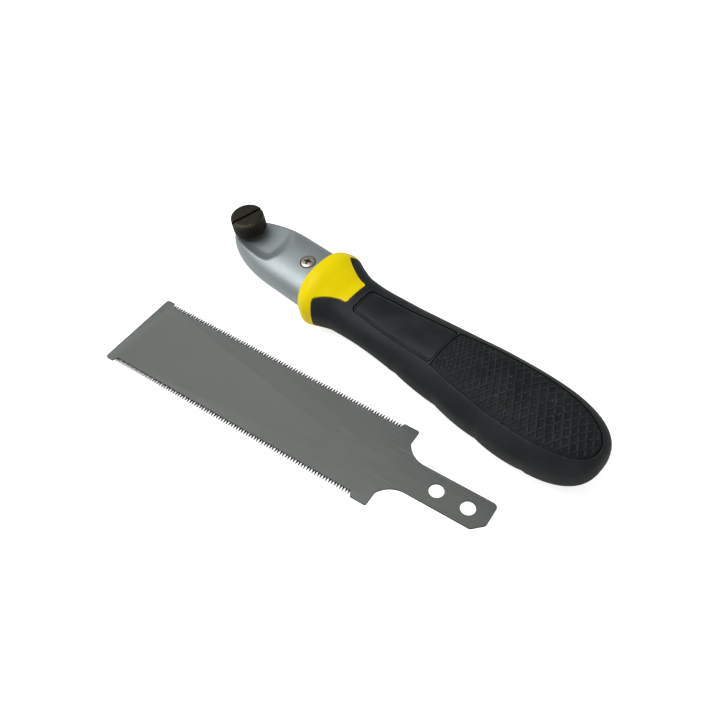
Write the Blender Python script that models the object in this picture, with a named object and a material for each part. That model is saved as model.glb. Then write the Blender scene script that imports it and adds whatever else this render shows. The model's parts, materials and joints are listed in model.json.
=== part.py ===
"""Japanese pull saw for flush cutting: a double-edged blade taken out of its handle.

The handle is built in its own frame, +X from nose to butt, with the thumb screw's axis
through the origin and the mid plane at z = 0. It then lies on the bench beside the blade,
rolled a little onto its near side, touching with its collar and its butt.
"""

import math

import bmesh
import bpy
import numpy as np

MM = 0.001
GAP = 0.3 * MM  # clearance kept between pieces that seat on each other
CUT = 2.0 * MM  # how far a cutter runs past the face that it opens
FAR_OUT = 20.0 * MM  # a height outside the handle, above or below

# Blade
BLADE_WIDTH = 36.15 * MM
BLADE_CUTTING_LENGTH = 120.0 * MM
BLADE_THICKNESS = 0.5 * MM
TOOTH_PITCH = 1.1545 * MM
TOOTH_HEIGHT = 1.15 * MM
TOOTH_SET = 0.12 * MM
TOOTH_TIP_INSET = 0.75 * MM
TOOTH_RAKE_SHARE = 0.68  # where the tip stands along its pitch, towards the tang
TIP_SHOULDER = 4.0 * MM
HEEL_SHOULDER = 5.6 * MM
SHOULDER_RAMP = 0.35 * MM
TIP_CORNER_RADIUS = 1.2 * MM
HEEL_NOTCH = 6.0 * MM
NECK_RADIUS = 9.6 * MM
TANG_WIDTH = 13.25 * MM
TANG_HOLE_RADIUS = 2.75 * MM
TANG_HOLE_SPACING = 12.18 * MM
TANG_END_MARGIN = 8.19 * MM
TANG_SCREW_HOLE = 17.24 * MM  # from the heel edge to the front hole
TANG_CHAMFER = 4.0 * MM
TANG_CORNER_RADIUS = 1.8 * MM

# Head casting
HEAD_CENTRE = -0.7 * MM  # the casting's own middle, beside the clamp's centre line
NOSE_REACH = 7.3 * MM
NOSE_FLAT = 0.12 * MM
NOSE_TAPER_START = 22.0 * MM
NOSE_TAPER_POWER = 1.9
HEAD_HALF_WIDTH = 13.3 * MM
HEAD_HALF_HEIGHTS = ((-8.3, 3.8), (-4.0, 5.0), (2.0, 6.0), (12.0, 6.8), (26.0, 7.3), (46.0, 7.8))
HEAD_FLAT_BOTTOM = -6.2 * MM
HEAD_END = 45.7 * MM
RECESS_FLOOR = 3.0 * MM
RECESS_CENTRE = 6.0 * MM
RECESS_REACH = 12.6 * MM
RECESS_HALF_WIDTH = 7.6 * MM
RECESS_POWER = 2.7
RECESS_FILLET = 0.8 * MM
RECESS_DRAFT = math.radians(18)
CASTING_TANG_HALF_WIDTH = 7.0 * MM
CASTING_TANG_HALF_HEIGHT = 3.0 * MM
CASTING_TANG_END = 86.0 * MM
TANG_PIN_RADIUS = 1.5 * MM
TANG_PIN_PLACES = (70.0 * MM, 80.0 * MM)

# Clamp
PLATE_THICKNESS = 2.4 * MM
PLATE_FRONT = -6.0 * MM
PLATE_REAR = 41.0 * MM
SLOT_HEIGHT = 0.9 * MM
SLOT_END = 24.0 * MM
PIN_RADIUS = 2.5 * MM
PIN_LENGTH = 5.2 * MM
PIN_REACH = 0.7 * MM
PLATE_SCREW_X = 35.2 * MM
PLATE_SCREW_RADIUS = 1.5 * MM
PLATE_SCREW_HEAD_RADIUS = 3.0 * MM
PLATE_SCREW_HEAD_HEIGHT = 1.7 * MM
PLATE_SCREW_SEAT = 6.0 * MM
BUSH_RADIUS = 4.0 * MM

# Thumb screw
KNOB_RADIUS = 7.0 * MM
KNOB_HEIGHT = 7.4 * MM
KNOB_CHAMFER = 0.7 * MM
KNOB_BAND = 1.9 * MM
KNURL_COUNT = 40
KNURL_DEPTH = 0.3 * MM
KNOB_RAISED = 0.8 * MM
SHANK_RADIUS = 2.5 * MM
SHANK_LENGTH = 10.3 * MM
DRIVER_SLOT_WIDTH = 1.4 * MM
DRIVER_SLOT_DEPTH = 1.6 * MM
DRIVER_SLOT_TURN = math.radians(75)
WASHER_RADIUS = 5.5 * MM
WASHER_THICKNESS = 0.6 * MM

# Handle: half-widths and half-heights in millimetres against the distance along it
COLLAR_FRONT = 43.4 * MM
HANDLE_END = 172.6 * MM
BUTT_START = 140.0 * MM
BUTT_POWER = 2.6
BUTT_FLAT = 0.03 * MM  # cut off the very end, so that the last ring has a size
SECTION_POWER = 2.3
HANDLE_HALF_WIDTHS = (
    (43.4, 14.7), (48.4, 16.7), (53.5, 14.8), (60.0, 13.0), (69.0, 12.7), (80.0, 13.1),
    (94.0, 13.9), (110.0, 15.0), (126.0, 16.4), (140.0, 17.0), (180.0, 17.0),
)
HANDLE_TOP_HEIGHTS = (
    (43.4, 13.5), (47.0, 13.7), (53.5, 11.6), (60.0, 9.2), (69.0, 8.0), (80.0, 8.0),
    (94.0, 9.7), (110.0, 11.7), (126.0, 12.7), (140.0, 12.8), (180.0, 12.8),
)
HANDLE_BOTTOM_HEIGHTS = (
    (43.4, 10.0), (48.0, 10.5), (53.5, 9.9), (60.0, 8.8), (69.0, 8.0), (80.0, 7.9),
    (94.0, 9.3), (110.0, 11.2), (126.0, 12.7), (140.0, 13.5), (180.0, 13.5),
)
GRIP_CENTRE_LINE = ((43.4, -0.7), (50.0, -1.2), (62.0, -1.1), (80.0, -0.5), (126.0, -0.1), (180.0, 0.0))
COLLAR_LIP = 0.9 * MM
FINGER_SWELL = 0.35 * MM
FINGER_PITCH = 20.1 * MM
FINGER_FIRST = 108.3 * MM
FINGER_LAST = 148.6 * MM
GRIP_WALL = 2.5 * MM
CORE_HALF_WIDTH = 11.5 * MM
CORE_HALF_HEIGHT = 5.5 * MM
CORE_WALL = 5.5 * MM  # rubber and inner rib left round the core at the butt
LOBE_END = 62.5 * MM
LOBE_HALF_WIDTH = 5.3 * MM
LOBE_CORNER = 0.6 * MM
PETAL_FRONT = 50.6 * MM
PETAL_INNER = 12.9 * MM
PETAL_RADIUS = 1.5 * MM
PETAL_SWEEP = 2.6 * MM  # how far the petal's edge falls back down the side

# Inlaid panels on the grip
PANEL_THICKNESS = 1.2 * MM
PANEL_SUNK = 0.25 * MM
LABEL_FRONT = 65.8 * MM
LABEL_REAR = 105.6 * MM
LABEL_HALF_WIDTHS = ((65.8, 5.7), (84.0, 7.2), (106.0, 8.3))
LABEL_CORNER = 1.8 * MM
PAD_FRONT = 106.5 * MM
PAD_REAR = 169.8 * MM
PAD_HALF_WIDTHS = ((106.0, 8.5), (122.0, 10.9), (140.0, 12.0), (180.0, 12.0))
PAD_ROUND_START = 140.0 * MM
PAD_ROUND_POWER = 2.3

# How the two halves of the saw lie on the bench
HANDLE_ROLL = math.radians(7.9)
BLADE_TIP_X = -1.0 * MM
BLADE_TIP_Y = -61.8 * MM
BLADE_TURN = math.radians(10.27)

RING_POINTS = 36
CORE_RING_POINTS = 28
STATION_STEP = 4.2 * MM


def clear_scene():
    """An empty scene to build in."""
    for old in list(bpy.data.objects):
        bpy.data.objects.remove(old, do_unlink=True)


def smooth(points):
    """A curve through (x, value) points, both in millimetres, that never overshoots them."""
    xs = np.array([p[0] for p in points], float) * MM
    ys = np.array([p[1] for p in points], float) * MM
    steps = np.diff(ys) / np.diff(xs)
    slopes = np.zeros(len(xs))
    slopes[0], slopes[-1] = steps[0], steps[-1]
    for i in range(1, len(xs) - 1):
        if steps[i - 1] * steps[i] > 0:
            slopes[i] = 2 * steps[i - 1] * steps[i] / (steps[i - 1] + steps[i])

    def value(x):
        i = int(np.clip(np.searchsorted(xs, x) - 1, 0, len(xs) - 2))
        span = xs[i + 1] - xs[i]
        t = min(max((x - xs[i]) / span, 0.0), 1.0)
        near = (1 + 2 * t) * (1 - t) ** 2 * ys[i] + t * (1 - t) ** 2 * span * slopes[i]
        far = t * t * (3 - 2 * t) * ys[i + 1] - t * t * (1 - t) * span * slopes[i + 1]
        return near + far

    return value


handle_width_at = smooth(HANDLE_HALF_WIDTHS)
handle_top_at = smooth(HANDLE_TOP_HEIGHTS)
handle_bottom_at = smooth(HANDLE_BOTTOM_HEIGHTS)
grip_centre_at = smooth(GRIP_CENTRE_LINE)
head_height_at = smooth(HEAD_HALF_HEIGHTS)
label_width_at = smooth(LABEL_HALF_WIDTHS)
pad_width_at = smooth(PAD_HALF_WIDTHS)


def rounded_off(x, start, end, power):
    """1 before start, falling to 0 at end along a superellipse."""
    t = min(max((x - start) / (end - start), 0.0), 1.0)
    return (1 - t**power) ** (1 / power)


def finger_swell(x):
    """Shallow swells for the fingers along the near side."""
    if not FINGER_FIRST - FINGER_PITCH / 4 <= x <= FINGER_LAST + FINGER_PITCH / 4:
        return 0.0
    return FINGER_SWELL * math.cos(2 * math.pi * (x - FINGER_FIRST) / FINGER_PITCH)


def handle_section(x, inward, end):
    """Near, far, top and bottom half sizes of the handle at x, moved in by a wall."""
    butt = rounded_off(x, BUTT_START, end, BUTT_POWER)
    width = (handle_width_at(x) - inward) * butt
    top = (handle_top_at(x) - inward) * butt
    bottom = (handle_bottom_at(x) - inward) * butt
    return width + finger_swell(x) * butt, width, top, bottom


def ring(x, near, far, top, bottom, centre=0.0, count=RING_POINTS):
    """One closed superellipse ring across the handle."""
    points = []
    for i in range(count):
        angle = 2 * math.pi * i / count
        across, up = math.cos(angle), math.sin(angle)
        half = far if across >= 0 else near
        height = top if up >= 0 else bottom
        y = half * math.copysign(abs(across) ** (2 / SECTION_POWER), across)
        z = height * math.copysign(abs(up) ** (2 / SECTION_POWER), up)
        points.append((x, centre + y, z))
    return points


def spaced(start, end, step):
    """Evenly spaced stations about a step apart."""
    count = max(1, round((end - start) / step))
    return [start + (end - start) * i / count for i in range(count + 1)]


def crowded_to_end(start, end, count):
    """Stations that crowd towards end, for a rounded end."""
    return [start + (end - start) * math.sin(math.pi / 2 * i / count) for i in range(1, count + 1)]


def mesh_object(name, bm, origin=(0, 0, 0)):
    """A named object from a bmesh, with its origin moved to a chosen point."""
    bmesh.ops.translate(bm, verts=bm.verts, vec=[-c for c in origin])
    bmesh.ops.recalc_face_normals(bm, faces=bm.faces)
    mesh = bpy.data.meshes.new(name)
    bm.to_mesh(mesh)
    bm.free()
    obj = bpy.data.objects.new(name, mesh)
    obj.location = origin
    bpy.context.scene.collection.objects.link(obj)
    return obj


def lofted(rings):
    """A closed bmesh skinned over rings of equal count, with a flat face at each end."""
    bm = bmesh.new()
    loops = [[bm.verts.new(p) for p in points] for points in rings]
    for first, second in zip(loops, loops[1:]):
        for i in range(len(first)):
            j = (i + 1) % len(first)
            bm.faces.new((first[i], first[j], second[j], second[i]))
    bm.faces.new(loops[0])
    bm.faces.new(list(reversed(loops[-1])))
    return bm


def extruded(outline, low, high):
    """A closed bmesh: a plan outline drawn up from low to high."""
    return lofted([[(x, y, low) for x, y in outline], [(x, y, high) for x, y in outline]])


def turned(profile, sides, x=0.0, y=0.0):
    """A closed bmesh turned round a vertical axis from (radius, z) pairs, bottom to top."""
    rings = []
    for radius, z in profile:
        angles = [2 * math.pi * i / sides for i in range(sides)]
        rings.append([(x + radius * math.cos(a), y + radius * math.sin(a), z) for a in angles])
    return lofted(rings)


def block(x0, x1, half_width, z0, z1):
    """A closed bmesh box, even about the handle's centre plane."""
    return extruded([(x0, -half_width), (x1, -half_width), (x1, half_width), (x0, half_width)], z0, z1)


def arc(cx, cy, radius, start, end, count):
    """Points along an arc, angles in degrees."""
    turns = [math.radians(start + (end - start) * i / count) for i in range(count + 1)]
    return [(cx + radius * math.cos(t), cy + radius * math.sin(t)) for t in turns]


def cutter(name, bm):
    """A helper shape that only takes part in Booleans."""
    obj = mesh_object(name, bm)
    obj.hide_render = True
    obj.display_type = "WIRE"
    return obj


def boolean(target, other, operation="DIFFERENCE"):
    """Adds an exact Boolean to the target."""
    step = target.modifiers.new(other.name, "BOOLEAN")
    step.operation = operation
    step.solver = "EXACT"
    step.object = other


def finish_with(obj, colour, roughness, metallic):
    """One Principled material of the piece's own."""
    material = bpy.data.materials.new(obj.name + "_finish")
    material.use_nodes = True
    shader = material.node_tree.nodes["Principled BSDF"]
    shader.inputs["Base Color"].default_value = (*colour, 1.0)
    shader.inputs["Roughness"].default_value = roughness
    shader.inputs["Metallic"].default_value = metallic
    obj.data.materials.append(material)
    obj.data.shade_smooth()
    obj.data.set_sharp_from_angle(angle=math.radians(32))


def outer_rings(inward=0.0):
    """The handle's outer form, or one moved in by a wall, with the collar's rounded lip."""
    end = HANDLE_END - inward
    stations = []
    for turn in arc_turns(30, 60, 1):
        lip = COLLAR_FRONT + COLLAR_LIP * (1 - math.cos(turn))
        stations.append((lip, COLLAR_LIP * (1 - math.sin(turn))))
    stations += [(x, 0.0) for x in spaced(COLLAR_FRONT + COLLAR_LIP, BUTT_START, STATION_STEP)]
    stations += [(x, 0.0) for x in crowded_to_end(BUTT_START, end - BUTT_FLAT, 9)]
    rings = []
    for x, drop in stations:
        near, far, top, bottom = handle_section(x, inward + drop, end)
        rings.append(ring(x, near, far, top, bottom, grip_centre_at(x)))
    return rings


def yellow_outline(clearance=0.0):
    """Plan of the yellow moulding where it shows: a front band with a tapering lobe."""
    petal = PETAL_FRONT + clearance
    side = max(width for _, width in HANDLE_HALF_WIDTHS) * MM + CUT
    upper = [(COLLAR_FRONT - CUT, side), (petal + PETAL_SWEEP, side)]
    upper += [(petal + 0.7 * PETAL_SWEEP, PETAL_INNER + 2 * PETAL_RADIUS)]
    upper += arc(petal + PETAL_RADIUS, PETAL_INNER, PETAL_RADIUS, 150, 235, 3)
    for share in (0.3, 0.6, 0.95):
        x = petal + share * (LOBE_END - PETAL_FRONT)
        waist = PETAL_INNER - PETAL_RADIUS + (LOBE_HALF_WIDTH - PETAL_INNER + PETAL_RADIUS) * share**0.5
        upper.append((x, waist + clearance))
    upper.append((LOBE_END + clearance, LOBE_HALF_WIDTH - LOBE_CORNER + clearance))
    return mirrored(upper)


def mirrored(upper):
    """A closed plan outline from its far half, even about the grip's centre line."""
    far = [(x, grip_centre_at(x) + y) for x, y in upper]
    return far + [(x, grip_centre_at(x) - y) for x, y in reversed(upper)]


def core_loft(clearance=0.0):
    """The core under the grip, drawn in by the grip's wall."""
    end = HANDLE_END - CORE_WALL + clearance
    height = CORE_HALF_HEIGHT + clearance
    stations = spaced(PETAL_FRONT - CUT, BUTT_START, 2 * STATION_STEP)
    stations += crowded_to_end(BUTT_START, end - BUTT_FLAT, 5)
    rings = []
    for x in stations:
        butt = rounded_off(x, BUTT_START, end, BUTT_POWER)
        width = min(handle_width_at(x) - GRIP_WALL, CORE_HALF_WIDTH) + clearance
        sizes = (width * butt, width * butt, height * butt, height * butt)
        rings.append(ring(x, *sizes, grip_centre_at(x), CORE_RING_POINTS))
    return rings


def head_section(x):
    """Half-width of the head casting at x, drawn round to the nose."""
    return HEAD_HALF_WIDTH * rounded_off(-x, -NOSE_TAPER_START, NOSE_REACH, NOSE_TAPER_POWER)


def head_rings(clearance=0.0, start=None):
    """The head's outer form from nose to socket."""
    if start is None:
        nose = [-x for x in crowded_to_end(-NOSE_TAPER_START, NOSE_REACH - NOSE_FLAT, 12)]
        stations = list(reversed(nose)) + spaced(NOSE_TAPER_START, HEAD_END, 1.5 * STATION_STEP)
    else:
        stations = spaced(start, HEAD_END + clearance, STATION_STEP)
    rings = []
    for x in stations:
        half = head_section(x) + clearance
        height = head_height_at(x) + clearance
        rings.append(ring(x, half, half, height, height, HEAD_CENTRE))
    return rings


def slot_ceiling():
    """Height of the casting's face above the blade's tang."""
    return HEAD_FLAT_BOTTOM + PLATE_THICKNESS + SLOT_HEIGHT


def plate_outline():
    """Plan of the clamp plate: straight sides and a rounded front."""
    half = TANG_WIDTH / 2 + GAP
    front = [(PLATE_FRONT + half * (1 + math.cos(t)), half * math.sin(t)) for t in arc_turns(90, 270, 12)]
    return front + [(PLATE_REAR, -half), (PLATE_REAR, half)]


def build_head_casting():
    head = mesh_object("head_casting", lofted(head_rings()))
    tang = block(
        HEAD_END - 3 * MM, CASTING_TANG_END, CASTING_TANG_HALF_WIDTH,
        -CASTING_TANG_HALF_HEIGHT, CASTING_TANG_HALF_HEIGHT,
    )
    boolean(head, cutter("cut_casting_tang", tang), "UNION")
    underside = block(-2 * NOSE_REACH, HEAD_END + CUT, 2 * HEAD_HALF_WIDTH, -FAR_OUT, HEAD_FLAT_BOTTOM)
    boolean(head, cutter("cut_flat_underside", underside))

    half = TANG_WIDTH / 2 + 2 * GAP
    slot = block(-2 * NOSE_REACH, SLOT_END, half, -FAR_OUT, slot_ceiling())
    boolean(head, cutter("cut_tang_channel", slot))
    seat = HEAD_FLAT_BOTTOM + PLATE_THICKNESS + GAP
    land = block(SLOT_END - CUT, PLATE_REAR + GAP, half, -FAR_OUT, seat)
    boolean(head, cutter("cut_plate_channel", land))

    boolean(head, cutter("cut_knob_recess", recess_shape()))
    bores = (
        ("cut_thumb_bore", 0.0, SHANK_RADIUS + GAP, -FAR_OUT, FAR_OUT),
        ("cut_pin_bore", TANG_HOLE_SPACING, PIN_RADIUS + GAP, -FAR_OUT, pin_top() + GAP),
        ("cut_plate_screw_bore", PLATE_SCREW_X, PLATE_SCREW_RADIUS + GAP, -FAR_OUT, FAR_OUT),
        ("cut_plate_screw_seat", PLATE_SCREW_X, PLATE_SCREW_HEAD_RADIUS + GAP, PLATE_SCREW_SEAT, FAR_OUT),
        ("cut_tang_hole_front", TANG_PIN_PLACES[0], TANG_PIN_RADIUS + GAP, -FAR_OUT, FAR_OUT),
        ("cut_tang_hole_rear", TANG_PIN_PLACES[1], TANG_PIN_RADIUS + GAP, -FAR_OUT, FAR_OUT),
    )
    for name, x, radius, low, high in bores:
        boolean(head, cutter(name, turned([(radius, low), (radius, high)], 28, x)))
    finish_with(head, (0.47, 0.51, 0.53), 0.38, 0.6)
    return head


def recess_shape():
    """The hollow under the knob: open at the nose, with a drafted wall curving round behind."""
    top = HEAD_HALF_WIDTH
    rise = top - RECESS_FLOOR - RECESS_FILLET
    rings = []
    for z, grow in (
        (RECESS_FLOOR, 0.0), (RECESS_FLOOR + RECESS_FILLET, RECESS_FILLET),
        (top, RECESS_FILLET + rise * math.tan(RECESS_DRAFT)),
    ):
        outline = [(-3 * NOSE_REACH, -RECESS_HALF_WIDTH - grow)]
        for t in arc_turns(-90, 90, 18):
            along = abs(math.cos(t)) ** (2 / RECESS_POWER)
            across = math.copysign(abs(math.sin(t)) ** (2 / RECESS_POWER), t)
            x = RECESS_CENTRE + (RECESS_REACH + grow) * along
            outline.append((x, (RECESS_HALF_WIDTH + grow) * across))
        outline.append((-3 * NOSE_REACH, RECESS_HALF_WIDTH + grow))
        rings.append([(x, HEAD_CENTRE + y, z) for x, y in outline])
    return lofted(rings)


def arc_turns(start, end, count):
    """Angles in radians between two angles in degrees."""
    return [math.radians(start + (end - start) * i / count) for i in range(count + 1)]


def pin_top():
    """Top of the locating pin inside the casting."""
    return slot_ceiling() - PIN_REACH + PIN_LENGTH


def build_locating_pin():
    low = slot_ceiling() - PIN_REACH
    chamfer = 0.3 * MM
    profile = [(PIN_RADIUS - chamfer, low), (PIN_RADIUS, low + chamfer), (PIN_RADIUS, pin_top())]
    pin = mesh_object("locating_pin", turned(profile, 24, TANG_HOLE_SPACING))
    finish_with(pin, (0.55, 0.55, 0.54), 0.3, 1.0)
    return pin


def build_clamp_plate():
    low = HEAD_FLAT_BOTTOM
    high = low + PLATE_THICKNESS
    hinge = (PLATE_SCREW_X, 0.0, high)
    plate = mesh_object("clamp_plate", extruded(plate_outline(), low, high), hinge)
    holes = (
        ("cut_bush_hole", 0.0, BUSH_RADIUS + GAP),
        ("cut_plate_pin_hole", TANG_HOLE_SPACING, PIN_RADIUS + 2 * GAP),
        ("cut_plate_screw_hole", PLATE_SCREW_X, PLATE_SCREW_RADIUS + GAP),
    )
    for name, x, radius in holes:
        boolean(plate, cutter(name, turned([(radius, low - CUT), (radius, high + CUT)], 28, x)))
    finish_with(plate, (0.42, 0.42, 0.41), 0.35, 1.0)
    return plate


def build_threaded_bush():
    low = HEAD_FLAT_BOTTOM
    high = low + PLATE_THICKNESS
    bush = mesh_object("threaded_bush", turned([(BUSH_RADIUS, low), (BUSH_RADIUS, high)], 28))
    bore = SHANK_RADIUS + GAP
    boolean(bush, cutter("cut_bush_bore", turned([(bore, low - CUT), (bore, high + CUT)], 28)))
    finish_with(bush, (0.6, 0.48, 0.25), 0.35, 1.0)
    return bush


def build_plate_screw():
    seat = PLATE_SCREW_SEAT + GAP
    top = seat + PLATE_SCREW_HEAD_HEIGHT
    dome = 0.55 * MM
    profile = [
        (PLATE_SCREW_RADIUS, HEAD_FLAT_BOTTOM + GAP),
        (PLATE_SCREW_RADIUS, seat),
        (PLATE_SCREW_HEAD_RADIUS, seat),
        (PLATE_SCREW_HEAD_RADIUS, top - dome),
        (0.85 * PLATE_SCREW_HEAD_RADIUS, top - 0.35 * dome),
        (0.55 * PLATE_SCREW_HEAD_RADIUS, top),
    ]
    screw = mesh_object("plate_screw", turned(profile, 28, PLATE_SCREW_X))
    reach, half = 1.6 * MM, 0.36 * MM
    for name, along, across in (("cut_cross_a", reach, half), ("cut_cross_b", half, reach)):
        corners = ((-1, -1), (1, -1), (1, 1), (-1, 1))
        arms = [(PLATE_SCREW_X + sx * along, sy * across) for sx, sy in corners]
        boolean(screw, cutter(name, extruded(arms, top - 1.1 * MM, top + CUT)))
    finish_with(screw, (0.75, 0.72, 0.66), 0.25, 1.0)
    return screw


def knob_underside():
    """Height of the raised knob's underside above the mid plane."""
    return RECESS_FLOOR + GAP + WASHER_THICKNESS + GAP + KNOB_RAISED


def knurled_ring(z, radius, depth):
    """A ring with one flute for every other pair of points."""
    points = []
    for i in range(2 * KNURL_COUNT):
        angle = math.pi * i / KNURL_COUNT
        reach = radius - (depth if i % 2 else 0.0)
        points.append((reach * math.cos(angle), reach * math.sin(angle), z))
    return points


def build_thumb_screw():
    low = knob_underside()
    top = low + KNOB_HEIGHT
    band = top - KNOB_CHAMFER - KNOB_BAND
    tip = low - SHANK_LENGTH
    chamfer = 0.4 * MM
    rings = [
        knurled_ring(tip, SHANK_RADIUS - chamfer, 0.0),
        knurled_ring(tip + chamfer, SHANK_RADIUS, 0.0),
        knurled_ring(low, SHANK_RADIUS, 0.0),
        knurled_ring(low, KNOB_RADIUS - 0.5 * MM, 0.0),
        knurled_ring(low + 0.4 * MM, KNOB_RADIUS, KNURL_DEPTH),
        knurled_ring(band - 0.3 * MM, KNOB_RADIUS, KNURL_DEPTH),
        knurled_ring(band, KNOB_RADIUS - 0.25 * MM, 0.0),
        knurled_ring(top - KNOB_CHAMFER, KNOB_RADIUS - 0.25 * MM, 0.0),
        knurled_ring(top, KNOB_RADIUS - 0.25 * MM - 1.2 * KNOB_CHAMFER, 0.0),
    ]
    screw = mesh_object("thumb_screw", lofted(rings))
    half = DRIVER_SLOT_WIDTH / 2
    along = (math.cos(DRIVER_SLOT_TURN), math.sin(DRIVER_SLOT_TURN))
    across = (-along[1], along[0])
    reach = KNOB_RADIUS + CUT
    corners = []
    for s, t in ((-reach, -half), (reach, -half), (reach, half), (-reach, half)):
        corners.append((s * along[0] + t * across[0], s * along[1] + t * across[1]))
    boolean(screw, cutter("cut_driver_slot", extruded(corners, top - DRIVER_SLOT_DEPTH, top + CUT)))
    finish_with(screw, (0.045, 0.038, 0.033), 0.42, 0.7)
    return screw


def build_thumb_washer():
    high = knob_underside() - GAP
    low = high - WASHER_THICKNESS
    washer = mesh_object("thumb_washer", turned([(WASHER_RADIUS, low), (WASHER_RADIUS, high)], 32))
    bore = SHANK_RADIUS + GAP
    boolean(washer, cutter("cut_washer_bore", turned([(bore, low - CUT), (bore, high + CUT)], 28)))
    finish_with(washer, (0.5, 0.5, 0.5), 0.35, 1.0)
    return washer


def build_tang_pins():
    half = CORE_HALF_HEIGHT - GAP
    for name, x in zip(("tang_pin_front", "tang_pin_rear"), TANG_PIN_PLACES):
        profile = [(TANG_PIN_RADIUS, -half), (TANG_PIN_RADIUS, half)]
        pin = mesh_object(name, turned(profile, 20, x))
        finish_with(pin, (0.5, 0.5, 0.5), 0.35, 1.0)


def build_handle_core():
    core = mesh_object("handle_core", lofted(outer_rings()))
    boolean(core, cutter("keep_yellow_plan", extruded(yellow_outline(), -FAR_OUT, FAR_OUT)), "INTERSECT")
    boolean(core, cutter("add_core_shaft", lofted(core_loft())), "UNION")
    socket = cutter("cut_head_socket", lofted(head_rings(GAP, COLLAR_FRONT - CUT)))
    boolean(core, socket)
    cavity = block(
        HEAD_END - CUT, CASTING_TANG_END + GAP, CASTING_TANG_HALF_WIDTH + GAP,
        -CASTING_TANG_HALF_HEIGHT - GAP, CASTING_TANG_HALF_HEIGHT + GAP,
    )
    boolean(core, cutter("cut_tang_cavity", cavity))
    for name, x in zip(("cut_core_pin_front", "cut_core_pin_rear"), TANG_PIN_PLACES):
        hole = TANG_PIN_RADIUS + GAP
        boolean(core, cutter(name, turned([(hole, -FAR_OUT), (hole, FAR_OUT)], 20, x)))
    finish_with(core, (0.85, 0.68, 0.0), 0.3, 0.0)
    return core


def label_outline(clearance=0.0):
    """Plan of the bare label plate."""
    front, rear = LABEL_FRONT - clearance, LABEL_REAR + clearance
    corner = LABEL_CORNER
    wide_front = label_width_at(LABEL_FRONT) + clearance
    wide_rear = label_width_at(LABEL_REAR) + clearance
    upper = arc(front + corner, wide_front - corner, corner, 180, 90, 4)
    middle = (LABEL_FRONT + LABEL_REAR) / 2
    upper += [(middle, label_width_at(middle) + clearance), (rear, wide_rear)]
    return mirrored(upper)


def pad_outline(clearance=0.0):
    """Plan of a textured pad: square at the front, round at the butt."""
    front, rear = PAD_FRONT - clearance, PAD_REAR + clearance
    stations = spaced(front, PAD_ROUND_START, 5.6 * MM)
    stations += crowded_to_end(PAD_ROUND_START, rear, 10)
    upper = []
    for x in stations:
        half = pad_width_at(x) * rounded_off(x, PAD_ROUND_START, rear, PAD_ROUND_POWER)
        upper.append((x, half + (clearance if x < rear - 1 * MM else 0.0)))
    outline = mirrored(upper[:-1])
    middle = len(upper) - 1
    return outline[:middle] + [(rear, grip_centre_at(rear))] + outline[middle:]


def build_panel(name, outline, side, colour, roughness):
    """A panel that follows the grip's surface, sunk a little below it."""
    panel = mesh_object(name, lofted(outer_rings(PANEL_SUNK)))
    low, high = (CUT, FAR_OUT) if side > 0 else (-FAR_OUT, -CUT)
    boolean(panel, cutter("keep_" + name, extruded(outline, low, high)), "INTERSECT")
    boolean(panel, cutter("core_of_" + name, lofted(outer_rings(PANEL_SUNK + PANEL_THICKNESS))))
    finish_with(panel, colour, roughness, 0.0)
    return panel


def panel_bed(name, outline, side):
    """Cutter for a panel's bed in the grip: everything above the bed's floor."""
    low, high = (CUT, FAR_OUT) if side > 0 else (-FAR_OUT, -CUT)
    bed = cutter("bed_" + name, extruded(outline, low, high))
    floor = cutter("floor_" + name, lofted(outer_rings(PANEL_SUNK + PANEL_THICKNESS + GAP)))
    boolean(bed, floor)
    return bed


def build_grip():
    grip = mesh_object("grip_overmould", lofted(outer_rings()))
    boolean(grip, cutter("cut_yellow_plan", extruded(yellow_outline(GAP), -FAR_OUT, FAR_OUT)))
    boolean(grip, cutter("cut_core_shaft", lofted(core_loft(GAP))))
    boolean(grip, panel_bed("label_plate", label_outline(GAP), 1))
    boolean(grip, panel_bed("texture_pad_top", pad_outline(GAP), 1))
    boolean(grip, panel_bed("texture_pad_bottom", pad_outline(GAP), -1))
    finish_with(grip, (0.028, 0.03, 0.032), 0.55, 0.0)
    return grip


def tooth_gullets():
    """Gullets along one edge, as distances from the tip end of the blade."""
    run = BLADE_CUTTING_LENGTH - TIP_SHOULDER - HEEL_SHOULDER
    count = int(run / TOOTH_PITCH)
    start = TIP_SHOULDER + (run - count * TOOTH_PITCH) / 2
    return [start + TOOTH_PITCH * i for i in range(count + 1)]


def neck_points():
    """The hollow fillet from the heel's inner corner to the tang."""
    heel, tang = BLADE_WIDTH / 2 - HEEL_NOTCH, TANG_WIDTH / 2
    sweep = math.acos(1 - (heel - tang) / NECK_RADIUS)
    centre_x = BLADE_CUTTING_LENGTH + NECK_RADIUS * math.sin(sweep)
    return arc(centre_x, tang + NECK_RADIUS, NECK_RADIUS, 270 - math.degrees(sweep), 270, 7)


def blade_side(sign):
    """One long side as (x, y, whether a gullet), from the tip corner to the tang."""
    half = BLADE_WIDTH / 2
    root = half - TOOTH_TIP_INSET - TOOTH_HEIGHT
    gullets = tooth_gullets()
    tip = arc(TIP_CORNER_RADIUS, half - TIP_CORNER_RADIUS, TIP_CORNER_RADIUS, 180, 90, 3)
    tip.append((gullets[0] - SHOULDER_RAMP, half))
    heel = [(gullets[-1] + SHOULDER_RAMP, half), (BLADE_CUTTING_LENGTH, half)] + neck_points()
    points = [(x, y, False) for x, y in tip] + [(x, root, True) for x in gullets]
    points += [(x, y, False) for x, y in heel]
    return [(x, sign * y, gullet) for x, y, gullet in points]


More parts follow.
